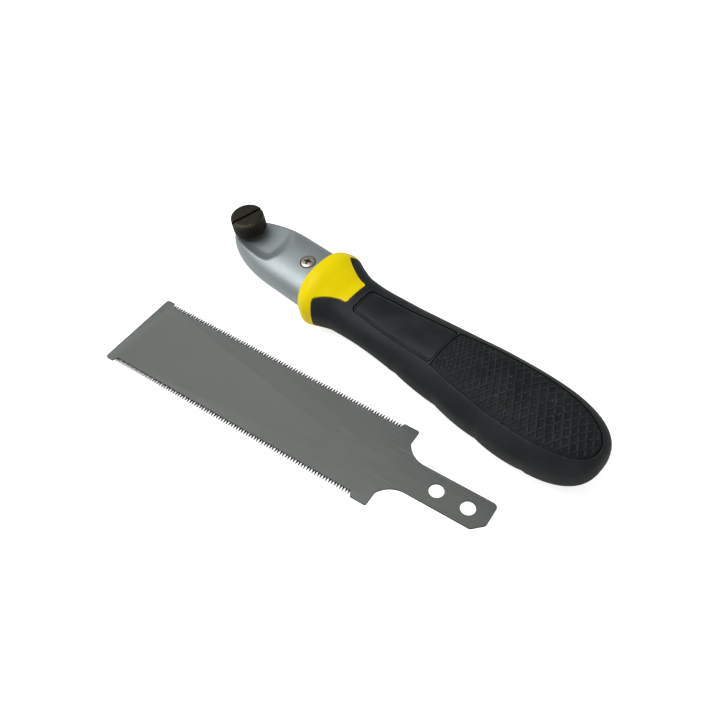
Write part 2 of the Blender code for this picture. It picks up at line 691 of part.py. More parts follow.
def tang_end():
    """The tang's end: a rounded far corner and a chamfered near one."""
    end = BLADE_CUTTING_LENGTH + TANG_SCREW_HOLE + TANG_HOLE_SPACING + TANG_END_MARGIN
    half, radius = TANG_WIDTH / 2, TANG_CORNER_RADIUS
    points = arc(end - radius, half - radius, radius, 90, 0, 4)
    points += [(end, TANG_CHAMFER - half), (end - TANG_CHAMFER, -half)]
    return [(x, y, False) for x, y in points]


def add_tooth(bm, gullets_low, gullets_high, tip_x, tip_y, lift):
    """One raked tooth between two gullets; lift is its set, square to the blade."""
    low = bm.verts.new((tip_x, tip_y, lift))
    high = bm.verts.new((tip_x, tip_y, BLADE_THICKNESS + lift))
    bm.faces.new((gullets_low[0], gullets_low[1], low))
    bm.faces.new((gullets_high[1], gullets_high[0], high))
    bm.faces.new((gullets_low[0], low, high, gullets_high[0]))
    bm.faces.new((low, gullets_low[1], gullets_high[1], high))


def build_blade():
    """A flat plate, toothed on both sides, with every other tooth set upwards."""
    outline = blade_side(1) + tang_end() + list(reversed(blade_side(-1)))
    tip_y = BLADE_WIDTH / 2 - TOOTH_TIP_INSET
    bm = bmesh.new()
    bottom, top = [[bm.verts.new((x, y, z)) for x, y, _ in outline] for z in (0.0, BLADE_THICKNESS)]
    bm.faces.new(list(reversed(top)))
    bm.faces.new(bottom)
    teeth = 0
    for i in range(len(outline)):
        j = (i + 1) % len(outline)
        if not (outline[i][2] and outline[j][2]):
            bm.faces.new((bottom[i], bottom[j], top[j], top[i]))
            continue
        tip_x = min(outline[i][0], outline[j][0]) + TOOTH_PITCH * TOOTH_RAKE_SHARE
        side = math.copysign(tip_y, outline[i][1])
        add_tooth(bm, (bottom[i], bottom[j]), (top[i], top[j]), tip_x, side, TOOTH_SET * (teeth % 2))
        teeth += 1
    blade = mesh_object("blade", bm)
    for name, place in (("cut_front_hole", 0.0), ("cut_rear_hole", TANG_HOLE_SPACING)):
        x = BLADE_CUTTING_LENGTH + TANG_SCREW_HOLE + place
        hole = turned([(TANG_HOLE_RADIUS, -CUT), (TANG_HOLE_RADIUS, BLADE_THICKNESS + CUT)], 28, x)
        boolean(blade, cutter(name, hole))
    finish_with(blade, (0.13, 0.14, 0.13), 0.38, 0.9)
    return blade


def empty(name):
    """A frame to hang pieces from."""
    frame = bpy.data.objects.new(name, None)
    frame.empty_display_size = 0.02
    bpy.context.scene.collection.objects.link(frame)
    return frame


def world_bounds():
    """Lowest and highest corner of every piece that shows."""
    bpy.context.view_layer.update()
    graph = bpy.context.evaluated_depsgraph_get()
    corners = []
    for obj in bpy.context.scene.objects:
        if obj.type == "MESH" and not obj.hide_render:
            evaluated = obj.evaluated_get(graph)
            mesh = evaluated.to_mesh()
            corners += [obj.matrix_world @ v.co for v in mesh.vertices]
            evaluated.to_mesh_clear()
    points = np.array([tuple(c) for c in corners])
    return points.min(axis=0), points.max(axis=0)


def resting_pitch():
    """Pitch at which the rolled handle touches the bench with its collar and its butt."""
    def rolled(rings):
        return [(x, y * math.sin(HANDLE_ROLL) + z * math.cos(HANDLE_ROLL)) for r in rings for x, y, z in r]

    collar = [p for p in rolled(outer_rings()) if p[0] < LOBE_END]
    butt = [p for p in rolled(outer_rings(PANEL_SUNK)) if p[0] > PAD_FRONT]
    slope = 0.0
    for _ in range(8):
        front = min(collar, key=lambda p: p[1] - slope * p[0])
        rear = min(butt, key=lambda p: p[1] - slope * p[0])
        slope = (rear[1] - front[1]) / (rear[0] - front[0])
    return math.atan(slope)


def build_saw():
    clear_scene()
    handle_rest = empty("handle_rest")
    blade_rest = empty("blade_rest")
    build_head_casting()
    build_locating_pin()
    build_clamp_plate()
    build_threaded_bush()
    build_plate_screw()
    build_thumb_screw()
    build_thumb_washer()
    build_tang_pins()
    build_handle_core()
    build_grip()
    build_panel("label_plate", label_outline(), 1, (0.02, 0.021, 0.022), 0.5)
    build_panel("texture_pad_top", pad_outline(), 1, (0.022, 0.024, 0.024), 0.6)
    build_panel("texture_pad_bottom", pad_outline(), -1, (0.022, 0.024, 0.024), 0.6)
    for obj in list(bpy.context.scene.objects):
        if obj.type == "MESH":
            obj.parent = handle_rest
    blade = build_blade()
    for obj in list(bpy.context.scene.objects):
        if obj.type == "MESH" and obj.parent is None:
            obj.parent = blade_rest
    handle_rest.rotation_euler = (HANDLE_ROLL, resting_pitch(), 0.0)
    blade_rest.rotation_euler = (0.0, 0.0, BLADE_TURN)
    blade_rest.location = (BLADE_TIP_X, BLADE_TIP_Y, 0.0)
    handle_rest.location.z = -world_bounds()[0][2]
    low, high = world_bounds()
    for frame in (handle_rest, blade_rest):
        frame.location.x -= (low[0] + high[0]) / 2
        frame.location.y -= (low[1] + high[1]) / 2
    pitch = math.degrees(handle_rest.rotation_euler.y)
    print("handle origin", [round(c / MM, 4) for c in handle_rest.location], "pitch", round(pitch, 4))
    print("blade origin", [round(c / MM, 4) for c in blade_rest.location])


build_saw()
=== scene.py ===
"""Looks of a small pull saw taken apart: a double-edged blade beside its handle.

Every piece is modelled in its carrier's own frame. The handle's frame has +X from the nose
to the butt and +Z up the thumb screw; the blade's has +X from the tip to the tang.
"""

import json
import math

import bmesh
import bpy
import numpy as np
from mathutils import Matrix, Vector


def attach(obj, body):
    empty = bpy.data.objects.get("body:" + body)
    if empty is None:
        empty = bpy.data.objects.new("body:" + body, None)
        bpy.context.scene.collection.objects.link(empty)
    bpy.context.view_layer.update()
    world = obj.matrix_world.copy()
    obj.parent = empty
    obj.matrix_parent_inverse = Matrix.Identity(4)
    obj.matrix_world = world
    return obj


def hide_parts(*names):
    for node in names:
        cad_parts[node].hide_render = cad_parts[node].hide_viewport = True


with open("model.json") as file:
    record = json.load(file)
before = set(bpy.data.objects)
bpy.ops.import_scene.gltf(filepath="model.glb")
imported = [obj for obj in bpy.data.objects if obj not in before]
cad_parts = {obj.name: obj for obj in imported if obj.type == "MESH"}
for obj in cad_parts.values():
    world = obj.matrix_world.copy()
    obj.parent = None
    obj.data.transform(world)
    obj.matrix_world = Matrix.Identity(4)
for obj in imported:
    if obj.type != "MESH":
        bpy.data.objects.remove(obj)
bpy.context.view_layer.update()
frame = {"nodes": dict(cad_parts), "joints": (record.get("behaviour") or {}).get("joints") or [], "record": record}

MM = 0.001
GAP = 0.3 * MM
CUT = 2.0 * MM
FAR_OUT = 20.0 * MM

# Camera of the photograph
LENS_MM = 41.68
SENSOR_MM = 36.0
CAMERA_DISTANCE = 322.14 * MM
CAMERA_ELEVATION = math.radians(49.92)
CAMERA_AZIMUTH = math.radians(43.55)
LOOK_FROM_HANDLE = (74.767 * MM, -12.789 * MM)  # from the handle's origin, on the bench

# Blade
BLADE_MOUNT_X = 60.0 * MM  # where the underside's mount lies along the blade
BLADE_WIDTH = 36.15 * MM
BLADE_CUTTING_LENGTH = 120.0 * MM
BLADE_THICKNESS = 0.5 * MM
TOOTH_PITCH = 1.1545 * MM
TOOTH_HEIGHT = 1.8 * MM
TOOTH_SET = 0.2 * MM
TOOTH_TIP_INSET = 0.35 * MM
TOOTH_RAKE_SHARE = 0.6
TOOTH_BEVEL = 0.36 * MM  # how far a tooth's root is drawn in on its ground face
TIP_BEVEL = 0.14 * MM
GULLET_HALF = 0.12 * MM
TIP_SHOULDER = 4.2 * MM
HEEL_SHOULDER = 6.9 * MM
SHOULDER_RAMP = 0.8 * MM
TIP_CORNER_RADIUS = 1.2 * MM
HEEL_NOTCH = 6.0 * MM
HEEL_CORNER_RADIUS = 0.7 * MM
NECK_RADIUS = 9.6 * MM
TANG_WIDTH = 13.25 * MM
TANG_HOLE_RADIUS = 2.75 * MM
TANG_HOLE_SPACING = 12.18 * MM
TANG_END_MARGIN = 8.19 * MM
TANG_SCREW_HOLE = 17.24 * MM
TANG_CHAMFER = 4.0 * MM
TANG_CORNER_RADIUS = 1.8 * MM
BLADE_EDGE_BREAK = 0.07 * MM

# Head casting
HEAD_CENTRE = -0.7 * MM
NOSE_REACH = 7.3 * MM
NOSE_FLAT = 0.12 * MM
NOSE_TAPER_START = 22.0 * MM
NOSE_TAPER_POWER = 1.9
HEAD_HALF_WIDTH = 13.3 * MM
HEAD_HALF_HEIGHTS = ((-8.3, 3.8), (-4.0, 5.0), (2.0, 6.0), (12.0, 6.8), (26.0, 7.3), (46.0, 7.8))
HEAD_FLAT_BOTTOM = -6.2 * MM
HEAD_END = 45.7 * MM
RECESS_FLOOR = 3.0 * MM
RECESS_CENTRE = 6.0 * MM
RECESS_REACH = 11.1 * MM
RECESS_NEAR_WIDTH = 5.7 * MM
RECESS_NEAR_POWER = 5.0
RECESS_FAR_WIDTH = 14.5 * MM  # wider than the casting, so the floor runs out to its far side
RECESS_FAR_POWER = 2.0
RECESS_FILLET = 1.8 * MM
RECESS_DRAFT = math.radians(50)
RECESS_SOFTNESS = 1.2 * MM  # height over which the recess's edge rounds into the casting's back
CASTING_TANG_HALF_WIDTH = 7.0 * MM
CASTING_TANG_HALF_HEIGHT = 3.0 * MM
CASTING_TANG_END = 86.0 * MM
TANG_PIN_RADIUS = 1.5 * MM
TANG_PIN_PLACES = (70.0 * MM, 80.0 * MM)

# Clamp
PLATE_THICKNESS = 2.4 * MM
PLATE_FRONT = -6.0 * MM
PLATE_REAR = 41.0 * MM
SLOT_HEIGHT = 0.9 * MM
SLOT_END = 24.0 * MM
PIN_RADIUS = 2.5 * MM
PIN_LENGTH = 5.2 * MM
PIN_REACH = 0.7 * MM
PLATE_SCREW_X = 35.2 * MM
PLATE_SCREW_RADIUS = 1.5 * MM
PLATE_SCREW_HEAD_RADIUS = 3.0 * MM
PLATE_SCREW_HEAD_HEIGHT = 1.7 * MM
PLATE_SCREW_SEAT = 6.0 * MM
BUSH_RADIUS = 4.0 * MM

# Thumb screw
KNOB_UNDERSIDE = 5.0 * MM
KNOB_RADIUS = 7.0 * MM
KNOB_HEIGHT = 7.4 * MM
KNOB_CHAMFER = 0.7 * MM
KNOB_BAND = 1.2 * MM
KNURL_COUNT = 44
KNURL_DEPTH = 0.4 * MM
KNURL_POINTS = 8
SHANK_RADIUS = 2.5 * MM
SHANK_LENGTH = 10.3 * MM
THREAD_PITCH = 0.8 * MM
THREAD_DEPTH = 0.4 * MM
DRIVER_SLOT_WIDTH = 1.4 * MM
DRIVER_SLOT_DEPTH = 1.6 * MM
DRIVER_SLOT_TURN = math.radians(75)
WASHER_RADIUS = 5.5 * MM
WASHER_THICKNESS = 0.6 * MM

# Handle: half-widths and half-heights in millimetres against the distance along it
COLLAR_FRONT = 43.4 * MM
HANDLE_END = 172.6 * MM
BUTT_START = 140.0 * MM
BUTT_POWER = 2.6
BUTT_FLAT = 0.03 * MM
SECTION_POWER = 2.3
HANDLE_HALF_WIDTHS = (
    (43.4, 14.7), (48.4, 16.7), (53.5, 14.8), (60.0, 13.0), (69.0, 12.7), (80.0, 13.1),
    (94.0, 13.9), (110.0, 15.0), (126.0, 16.4), (140.0, 17.0), (180.0, 17.0),
)
HANDLE_TOP_HEIGHTS = (
    (43.4, 13.5), (47.0, 13.7), (53.5, 11.6), (60.0, 9.2), (69.0, 8.0), (80.0, 8.0),
    (94.0, 9.7), (110.0, 11.7), (126.0, 12.7), (140.0, 12.8), (180.0, 12.8),
)
HANDLE_BOTTOM_HEIGHTS = (
    (43.4, 10.0), (48.0, 10.5), (53.5, 9.9), (60.0, 8.8), (69.0, 8.0), (80.0, 7.9),
    (94.0, 9.3), (110.0, 11.2), (126.0, 12.7), (140.0, 13.5), (180.0, 13.5),
)
GRIP_CENTRE_LINE = ((43.4, -0.7), (50.0, -1.2), (62.0, -1.1), (80.0, -0.5), (126.0, -0.1), (180.0, 0.0))
COLLAR_LIP = 0.9 * MM
FINGER_SWELL = 0.35 * MM
FINGER_PITCH = 19.6 * MM
FINGER_FIRST = 102.3 * MM
FINGER_LAST = 141.5 * MM
FINGER_POWER = 0.6  # under 1 draws the valleys tighter than the swells
GRIP_WALL = 2.5 * MM
CORE_HALF_WIDTH = 11.5 * MM
CORE_HALF_HEIGHT = 5.5 * MM
CORE_WALL = 5.5 * MM
LOBE_END = 62.3 * MM
LOBE_CORNER = 1.0 * MM
PETAL_FAR = (49.3, 11.9, 1.2, 6.2)  # in millimetres: front, corner's centre, its radius, lobe's half-width
PETAL_NEAR = (51.1, 12.4, 1.9, 5.0)
PETAL_SWEEP = 2.6 * MM
PETAL_TURN = 228  # degrees, where the petal's corner meets its waist
WAIST_POWER = 1.6

# Inlaid panels
PANEL_THICKNESS = 1.2 * MM
PANEL_SUNK = 0.25 * MM
LABEL_FRONT = 65.8 * MM
LABEL_REAR = 105.6 * MM
LABEL_HALF_WIDTHS = ((65.8, 5.7), (84.0, 7.2), (106.0, 8.3))
LABEL_CORNER = 1.8 * MM
LABEL_REAR_CORNER = 1.8 * MM
LABEL_GROOVE_INSET = 0.85 * MM
LABEL_GROOVE_WIDTH = 0.17 * MM
LABEL_GROOVE_DEPTH = 0.22 * MM
PAD_FRONT = 106.5 * MM
PAD_REAR = 169.8 * MM
PAD_HALF_WIDTHS = ((106.0, 8.5), (122.0, 10.9), (140.0, 12.0), (180.0, 12.0))
PAD_ROUND_START = 140.0 * MM
PAD_ROUND_POWER = 2.3
PAD_TIP = 3.0 * MM  # stretch before the pad's round end where its stations crowd together
PAD_RIM = 0.7 * MM  # plain edge left round the criss-cross ribs
PAD_RIB_HEIGHT = 0.32 * MM
PAD_SUNK_FLOOR = 0.1 * MM  # how far the ground between the ribs lies below the rim
PAD_RIB_SHARE = 0.17  # half a rib's width, as a share of the ribs' spacing
PAD_RIB_SPACINGS = ((106.0, 1.5), (126.0, 2.6), (146.0, 3.3), (180.0, 2.6))
PAD_RIB_SLANT = 0.62  # how fast a rib runs outwards as it runs back

# Studio
FLOOR_SIZE = 3.0
BENCH_DROP = 0.05 * MM  # keeps the bench just clear of what rests on it
ROOM_LIGHT = 0.34
BACKDROP_LIFT = 0.6  # what a camera ray adds, so the room looks as pale as the bench
BENCH_LIFT = 0.75
SOFT_BOXES = (  # each box's name, size, power and place
    ("overhead_box", 0.7, 7.0, (-0.44, -0.30, 0.86)),
    ("front_box", 0.6, 0.8, (0.70, -0.50, 0.35)),
)


def clear_of_overshoot(points):
    """A curve through (x, value) points, both in millimetres, that never overshoots them."""
    xs = np.array([p[0] for p in points], float) * MM
    ys = np.array([p[1] for p in points], float) * MM
    steps = np.diff(ys) / np.diff(xs)
    slopes = np.zeros(len(xs))
    slopes[0], slopes[-1] = steps[0], steps[-1]
    for i in range(1, len(xs) - 1):
        if steps[i - 1] * steps[i] > 0:
            slopes[i] = 2 * steps[i - 1] * steps[i] / (steps[i - 1] + steps[i])

    def value(x):
        i = int(np.clip(np.searchsorted(xs, x) - 1, 0, len(xs) - 2))
        span = xs[i + 1] - xs[i]
        t = min(max((x - xs[i]) / span, 0.0), 1.0)
        near = (1 + 2 * t) * (1 - t) ** 2 * ys[i] + t * (1 - t) ** 2 * span * slopes[i]
        far = t * t * (3 - 2 * t) * ys[i + 1] - t * t * (1 - t) * span * slopes[i + 1]
        return near + far

    return value


handle_width_at = clear_of_overshoot(HANDLE_HALF_WIDTHS)
handle_top_at = clear_of_overshoot(HANDLE_TOP_HEIGHTS)
handle_bottom_at = clear_of_overshoot(HANDLE_BOTTOM_HEIGHTS)
grip_centre_at = clear_of_overshoot(GRIP_CENTRE_LINE)
head_height_at = clear_of_overshoot(HEAD_HALF_HEIGHTS)
label_width_at = clear_of_overshoot(LABEL_HALF_WIDTHS)
pad_width_at = clear_of_overshoot(PAD_HALF_WIDTHS)
rib_spacing_at = clear_of_overshoot(PAD_RIB_SPACINGS)


def rounded_off(x, start, end, power):
    """1 before start, falling to 0 at end along a superellipse."""
    t = min(max((x - start) / (end - start), 0.0), 1.0)
    return (1 - t**power) ** (1 / power)


def finger_swell(x):
    """Rounded swells for the fingers along the near side, with tighter valleys between them."""
    wave = 2 * abs(math.cos(math.pi * (x - FINGER_FIRST) / FINGER_PITCH)) ** FINGER_POWER - 1
    outside = max(FINGER_FIRST - x, x - FINGER_LAST) - FINGER_PITCH / 2
    share = min(max(4 * outside / FINGER_PITCH, 0.0), 1.0)
    return FINGER_SWELL * wave * (1 - share * share * (3 - 2 * share))


def handle_section(x, inward=0.0):
    """Near, far, top and bottom half sizes of the handle at x, moved in by a wall."""
    butt = rounded_off(x, BUTT_START, HANDLE_END - inward, BUTT_POWER)
    width = (handle_width_at(x) - inward) * butt
    top = (handle_top_at(x) - inward) * butt
    bottom = (handle_bottom_at(x) - inward) * butt
    return width + finger_swell(x) * butt, width, top, bottom


def spaced(start, end, step):
    """Evenly spaced stations about a step apart."""
    count = max(1, round((end - start) / step))
    return [start + (end - start) * i / count for i in range(count + 1)]


def crowded_to_end(start, end, count):
    """Stations after start that crowd towards end, for a rounded end."""
    return [start + (end - start) * math.sin(math.pi / 2 * i / count) for i in range(1, count + 1)]


def arc(cx, cy, radius, start, end, count):
    """Points along an arc, angles in degrees."""
    turns = [math.radians(start + (end - start) * i / count) for i in range(count + 1)]
    return [(cx + radius * math.cos(t), cy + radius * math.sin(t)) for t in turns]


def smooth_least(a, b, softness):
    """The lesser of two heights, rounded where they cross."""
    near = np.maximum(softness - np.abs(a - b), 0.0) / softness
    return np.minimum(a, b) - near * near * softness / 4


# The frames that the pieces are modelled in

def joint_named(name):
    return next(joint for joint in frame["joints"] if joint["name"] == name)


def handle_place():
    """The handle's own frame, from the thumb screw's axis and the clamp plate's hinge."""
    turn = joint_named("thumb_turn")
    up = Vector(turn["axis"]).normalized()
    side = Vector(joint_named("clamp_plate_tilt")["axis"])
    side = (side - up * side.dot(up)).normalized()
    along = side.cross(up)
    origin = Vector(turn["pos_m"]) - KNOB_UNDERSIDE * up
    axes = Matrix((along, side, up)).transposed().to_4x4()
    return Matrix.Translation(origin) @ axes


def blade_place():
    """The blade's own frame, from the mounts on its underside and on its tang."""
    mounts = {mount["name"]: Vector(mount["pos_m"]) for mount in frame["record"]["mounts"]}
    start = mounts["blade_underside"]
    along = mounts["blade_tang_top"] - start
    along.z = 0.0
    along.normalize()
    up = Vector((0.0, 0.0, 1.0))
    axes = Matrix((along, up.cross(along), up)).transposed().to_4x4()
    return Matrix.Translation(start - BLADE_MOUNT_X * along) @ axes


HANDLE = handle_place()
BLADE = blade_place()


# Mesh making

def mesh_object(name, points, faces):
    """An object of its own from points and faces, with its faces turned outwards."""
    mesh = bpy.data.meshes.new(name)
    mesh.from_pydata([tuple(p) for p in points], [], faces)
    mesh.validate()
    obj = bpy.data.objects.new(name, mesh)
    bpy.context.scene.collection.objects.link(obj)
    turn_outwards(mesh)
    return obj


def turn_outwards(mesh):
    bm = bmesh.new()
    bm.from_mesh(mesh)
    bmesh.ops.recalc_face_normals(bm, faces=bm.faces)
    bm.to_mesh(mesh)
    bm.free()


def lofted(name, rings):
    """A closed object skinned over rings of equal count, with a flat face at each end."""
    count = len(rings[0])
    points = [p for ring in rings for p in ring]
    faces = []
    for i in range(len(rings) - 1):
        for j in range(count):
            k = (j + 1) % count
            faces.append((i * count + j, i * count + k, (i + 1) * count + k, (i + 1) * count + j))
    last = (len(rings) - 1) * count
    faces.append(tuple(range(count - 1, -1, -1)))
    faces.append(tuple(range(last, last + count)))
    return mesh_object(name, points, faces)


def extruded(name, outline, low, high):
    """A plan outline drawn up from low to high."""
    return lofted(name, [[(x, y, low) for x, y in outline], [(x, y, high) for x, y in outline]])


def turned(name, profile, sides, x=0.0):
    """A body turned round a vertical axis from (radius, z) pairs, bottom to top."""
    angles = [2 * math.pi * i / sides for i in range(sides)]
    return lofted(name, [[(x + r * math.cos(a), r * math.sin(a), z) for a in angles] for r, z in profile])


def block(name, x0, x1, half_width, z0, z1):
    """A box, even about the handle's centre plane."""
    return extruded(name, [(x0, -half_width), (x1, -half_width), (x1, half_width), (x0, half_width)], z0, z1)


def joined(name, objects):
    """Separate closed shapes as one object."""
    points, faces = [], []
    for obj in objects:
        start = len(points)
        points += [tuple(v.co) for v in obj.data.vertices]
        faces += [tuple(start + v for v in face.vertices) for face in obj.data.polygons]
        bpy.data.objects.remove(obj, do_unlink=True)
    return mesh_object(name, points, faces)


def carved(obj, *steps):
    """The object after a list of (operation, other) Booleans; the others are used up."""
    for operation, other in steps:
        step = obj.modifiers.new(other.name, "BOOLEAN")
        step.operation = operation
        step.solver = "EXACT"
        step.object = other
    graph = bpy.context.evaluated_depsgraph_get()
    mesh = bpy.data.meshes.new_from_object(obj.evaluated_get(graph))
    obj.modifiers.clear()
    obj.data = mesh
    for _, other in steps:
        bpy.data.objects.remove(other, do_unlink=True)
    return obj


def edges_broken(obj, width, segments=2, limit=math.radians(40)):
    """The object with its sharp edges rounded a little."""
    step = obj.modifiers.new("edge_break", "BEVEL")
    step.width = width
    step.segments = segments
    step.limit_method = "ANGLE"
    step.angle_limit = limit
    step.harden_normals = False
    return carved(obj)


def pressed_level(obj):
    """Rubber of the handle made level where its weight rests it on the bench."""
    back = HANDLE.inverted()
    for vertex in obj.data.vertices:
        spot = HANDLE @ vertex.co
        if spot.z < 0:
            vertex.co = back @ Vector((spot.x, spot.y, 0.0))


def finished(obj, node, body, materials, place=HANDLE, crease=math.radians(34)):
    """Gives a piece its materials, shading and place, and hands it to the frame."""
    marks = np.zeros(len(obj.data.polygons), np.int32)
    obj.data.polygons.foreach_get("material_index", marks)
    obj.data.materials.clear()
    for material in materials:
        obj.data.materials.append(material)
    obj.data.polygons.foreach_set("material_index", marks)
    obj.data.shade_smooth()
    obj.data.set_sharp_from_angle(angle=crease)
    obj.matrix_world = place
    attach(obj, body)
    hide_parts(node)
    return obj


# The camera, the bench and the light

def add_camera():
    data = bpy.data.cameras.new("photo_camera")
    data.lens = LENS_MM
    data.sensor_width = SENSOR_MM
    camera = bpy.data.objects.new("photo_camera", data)
    bpy.context.scene.collection.objects.link(camera)
    level = math.cos(CAMERA_ELEVATION)
    back = Vector((
        math.sin(CAMERA_AZIMUTH) * level,
        -math.cos(CAMERA_AZIMUTH) * level,
        math.sin(CAMERA_ELEVATION),
    ))
    start = HANDLE.translation
    look_at = Vector((start.x + LOOK_FROM_HANDLE[0], start.y + LOOK_FROM_HANDLE[1], 0.0))
    camera.location = look_at + CAMERA_DISTANCE * back
    camera.rotation_euler = back.to_track_quat("Z", "Y").to_euler()
    bpy.context.scene.camera = camera


def add_soft_light(name, size, power, place):
    """A square soft box that faces the middle of the bench."""
    data = bpy.data.lights.new(name, "AREA")
    data.shape = "SQUARE"
    data.size = size
    data.energy = power
    light = bpy.data.objects.new(name, data)
    bpy.context.scene.collection.objects.link(light)
    light.location = place
    light.rotation_euler = Vector(place).to_track_quat("Z", "Y").to_euler()


def add_studio():
    """A white bench under a soft white room and two soft boxes."""
    half = FLOOR_SIZE / 2
    floor = mesh_object(
        "bench", [(-half, -half, 0), (half, -half, 0), (half, half, 0), (-half, half, 0)], [(0, 1, 2, 3)],
    )
    floor.location.z = -BENCH_DROP
    floor.data.materials.append(bench_white())
    world = bpy.data.worlds.new("studio")
    bpy.context.scene.world = world
    world.use_nodes = True
    background = world.node_tree.nodes["Background"]
    background.inputs["Color"].default_value = (1.0, 1.0, 1.0, 1.0)
    seen = add_node(world.node_tree, "LightPath").outputs["Is Camera Ray"]
    strength = math_of(world.node_tree, "MULTIPLY_ADD", seen, BACKDROP_LIFT, ROOM_LIGHT)
    put(world.node_tree, background.inputs["Strength"], strength)
    for box in SOFT_BOXES:
        add_soft_light(*box)
    bpy.context.scene.view_settings.view_transform = "Standard"


# Node materials

def from_photo(red, green, blue):
    """A linear colour from one written as it is seen on a screen, 0 to 255."""
    levels = [c / 255 for c in (red, green, blue)]
    linear = [c / 12.92 if c <= 0.04045 else ((c + 0.055) / 1.055) ** 2.4 for c in levels]
    return (*linear, 1.0)


def add_node(tree, kind, options=None, **sockets):
    """A shader node with its options set and its sockets given a value or a link."""
    made = tree.nodes.new("ShaderNode" + kind)
    for name, value in (options or {}).items():
        setattr(made, name, value)
    for name, value in sockets.items():
        put(tree, made.inputs[name.replace("_", " ")], value)
    return made


def put(tree, socket, value):
    if isinstance(value, bpy.types.NodeSocket):
        tree.links.new(value, socket)
    else:
        socket.default_value = value


def math_of(tree, operation, *values):
    """The result of a Math node."""
    made = tree.nodes.new("ShaderNodeMath")
    made.operation = operation
    for socket, value in zip(made.inputs, values):
        put(tree, socket, value)
    return made.outputs[0]


def between(tree, share, first, second):
    """A colour that runs from first to second."""
    made = tree.nodes.new("ShaderNodeMix")
    made.data_type = "RGBA"
    put(tree, made.inputs["Factor"], share)
    put(tree, made.inputs["A"], first)
    put(tree, made.inputs["B"], second)
    return made.outputs["Result"]


def fitted(tree, value, low, high, to_low, to_high):
    """A value moved from one range to another and held there."""
    made = tree.nodes.new("ShaderNodeMapRange")
    made.interpolation_type = "SMOOTHSTEP"
    for name, number in (
        ("Value", value), ("From Min", low), ("From Max", high), ("To Min", to_low), ("To Max", to_high),
    ):
        put(tree, made.inputs[name], number)
    return made.outputs["Result"]


def new_group(name, inputs, outputs):
    """An empty node group: (its tree, its input node, its output node)."""
    tree = bpy.data.node_groups.new(name, "ShaderNodeTree")
    for label, kind, value in inputs:
        socket = tree.interface.new_socket(name=label, in_out="INPUT", socket_type="NodeSocket" + kind)
        if value is not None:
            socket.default_value = value
    for label, kind in outputs:
        tree.interface.new_socket(name=label, in_out="OUTPUT", socket_type="NodeSocket" + kind)
    return tree, tree.nodes.new("NodeGroupInput"), tree.nodes.new("NodeGroupOutput")


def make_grain_group():
    """Moulded or sprayed grain: small pits for the bump and slow drifts of tone."""
    tree, given, result = new_group(
        "moulded_grain",
        [("Vector", "Vector", None), ("Size mm", "Float", 0.4), ("Drift mm", "Float", 12.0)],
        [("Height", "Float"), ("Tone", "Float")],
    )
    per_metre = math_of(tree, "DIVIDE", 1000.0, given.outputs["Size mm"])
    pits = add_node(
        tree, "TexVoronoi", {"feature": "SMOOTH_F1"}, Vector=given.outputs["Vector"], Scale=per_metre,
    )
    speckle = add_node(
        tree, "TexNoise", Vector=given.outputs["Vector"], Scale=per_metre, Detail=4.0, Roughness=0.6,
    )
    pitted = math_of(tree, "MULTIPLY", pits.outputs["Distance"], 0.5)
    height = math_of(tree, "ADD", pitted, speckle.outputs[0])
    drift = add_node(
        tree, "TexNoise", Vector=given.outputs["Vector"],
        Scale=math_of(tree, "DIVIDE", 1000.0, given.outputs["Drift mm"]), Detail=3.0,
    )
    tree.links.new(height, result.inputs["Height"])
    tree.links.new(fitted(tree, drift.outputs[0], 0.32, 0.68, 0.0, 1.0), result.inputs["Tone"])
    return tree


def make_brushed_group():
    """Brushed metal: streaks along X, a few longer scratches, and slow drifts of tone."""
    tree, given, result = new_group(
        "brushed_lines",
        [("Vector", "Vector", None), ("Line mm", "Float", 0.12), ("Length mm", "Float", 14.0),
         ("Drift mm", "Float", 30.0)],
        [("Streaks", "Float"), ("Scratches", "Float"), ("Tone", "Float")],
    )
    across = math_of(tree, "DIVIDE", 1000.0, given.outputs["Line mm"])
    along = math_of(tree, "DIVIDE", 1000.0, given.outputs["Length mm"])
    stretch = add_node(tree, "CombineXYZ", X=along, Y=across, Z=across)
    laid = add_node(tree, "VectorMath", {"operation": "MULTIPLY"})
    tree.links.new(given.outputs["Vector"], laid.inputs[0])
    tree.links.new(stretch.outputs[0], laid.inputs[1])
    streaks = add_node(tree, "TexNoise", Vector=laid.outputs[0], Scale=1.0, Detail=5.0, Roughness=0.65)
    wider = add_node(tree, "VectorMath", {"operation": "MULTIPLY"})
    tree.links.new(laid.outputs[0], wider.inputs[0])
    wider.inputs[1].default_value = (0.7, 0.3, 0.3)
    scratches = add_node(tree, "TexNoise", Vector=wider.outputs[0], Scale=1.0, Detail=2.0, Distortion=0.25)
    drift = add_node(
        tree, "TexNoise", Vector=given.outputs["Vector"],
        Scale=math_of(tree, "DIVIDE", 1000.0, given.outputs["Drift mm"]), Detail=2.0,
    )
    tree.links.new(streaks.outputs[0], result.inputs["Streaks"])
    tree.links.new(fitted(tree, scratches.outputs[0], 0.6, 0.72, 0.0, 1.0), result.inputs["Scratches"])
    tree.links.new(fitted(tree, drift.outputs[0], 0.3, 0.7, 0.0, 1.0), result.inputs["Tone"])
    return tree


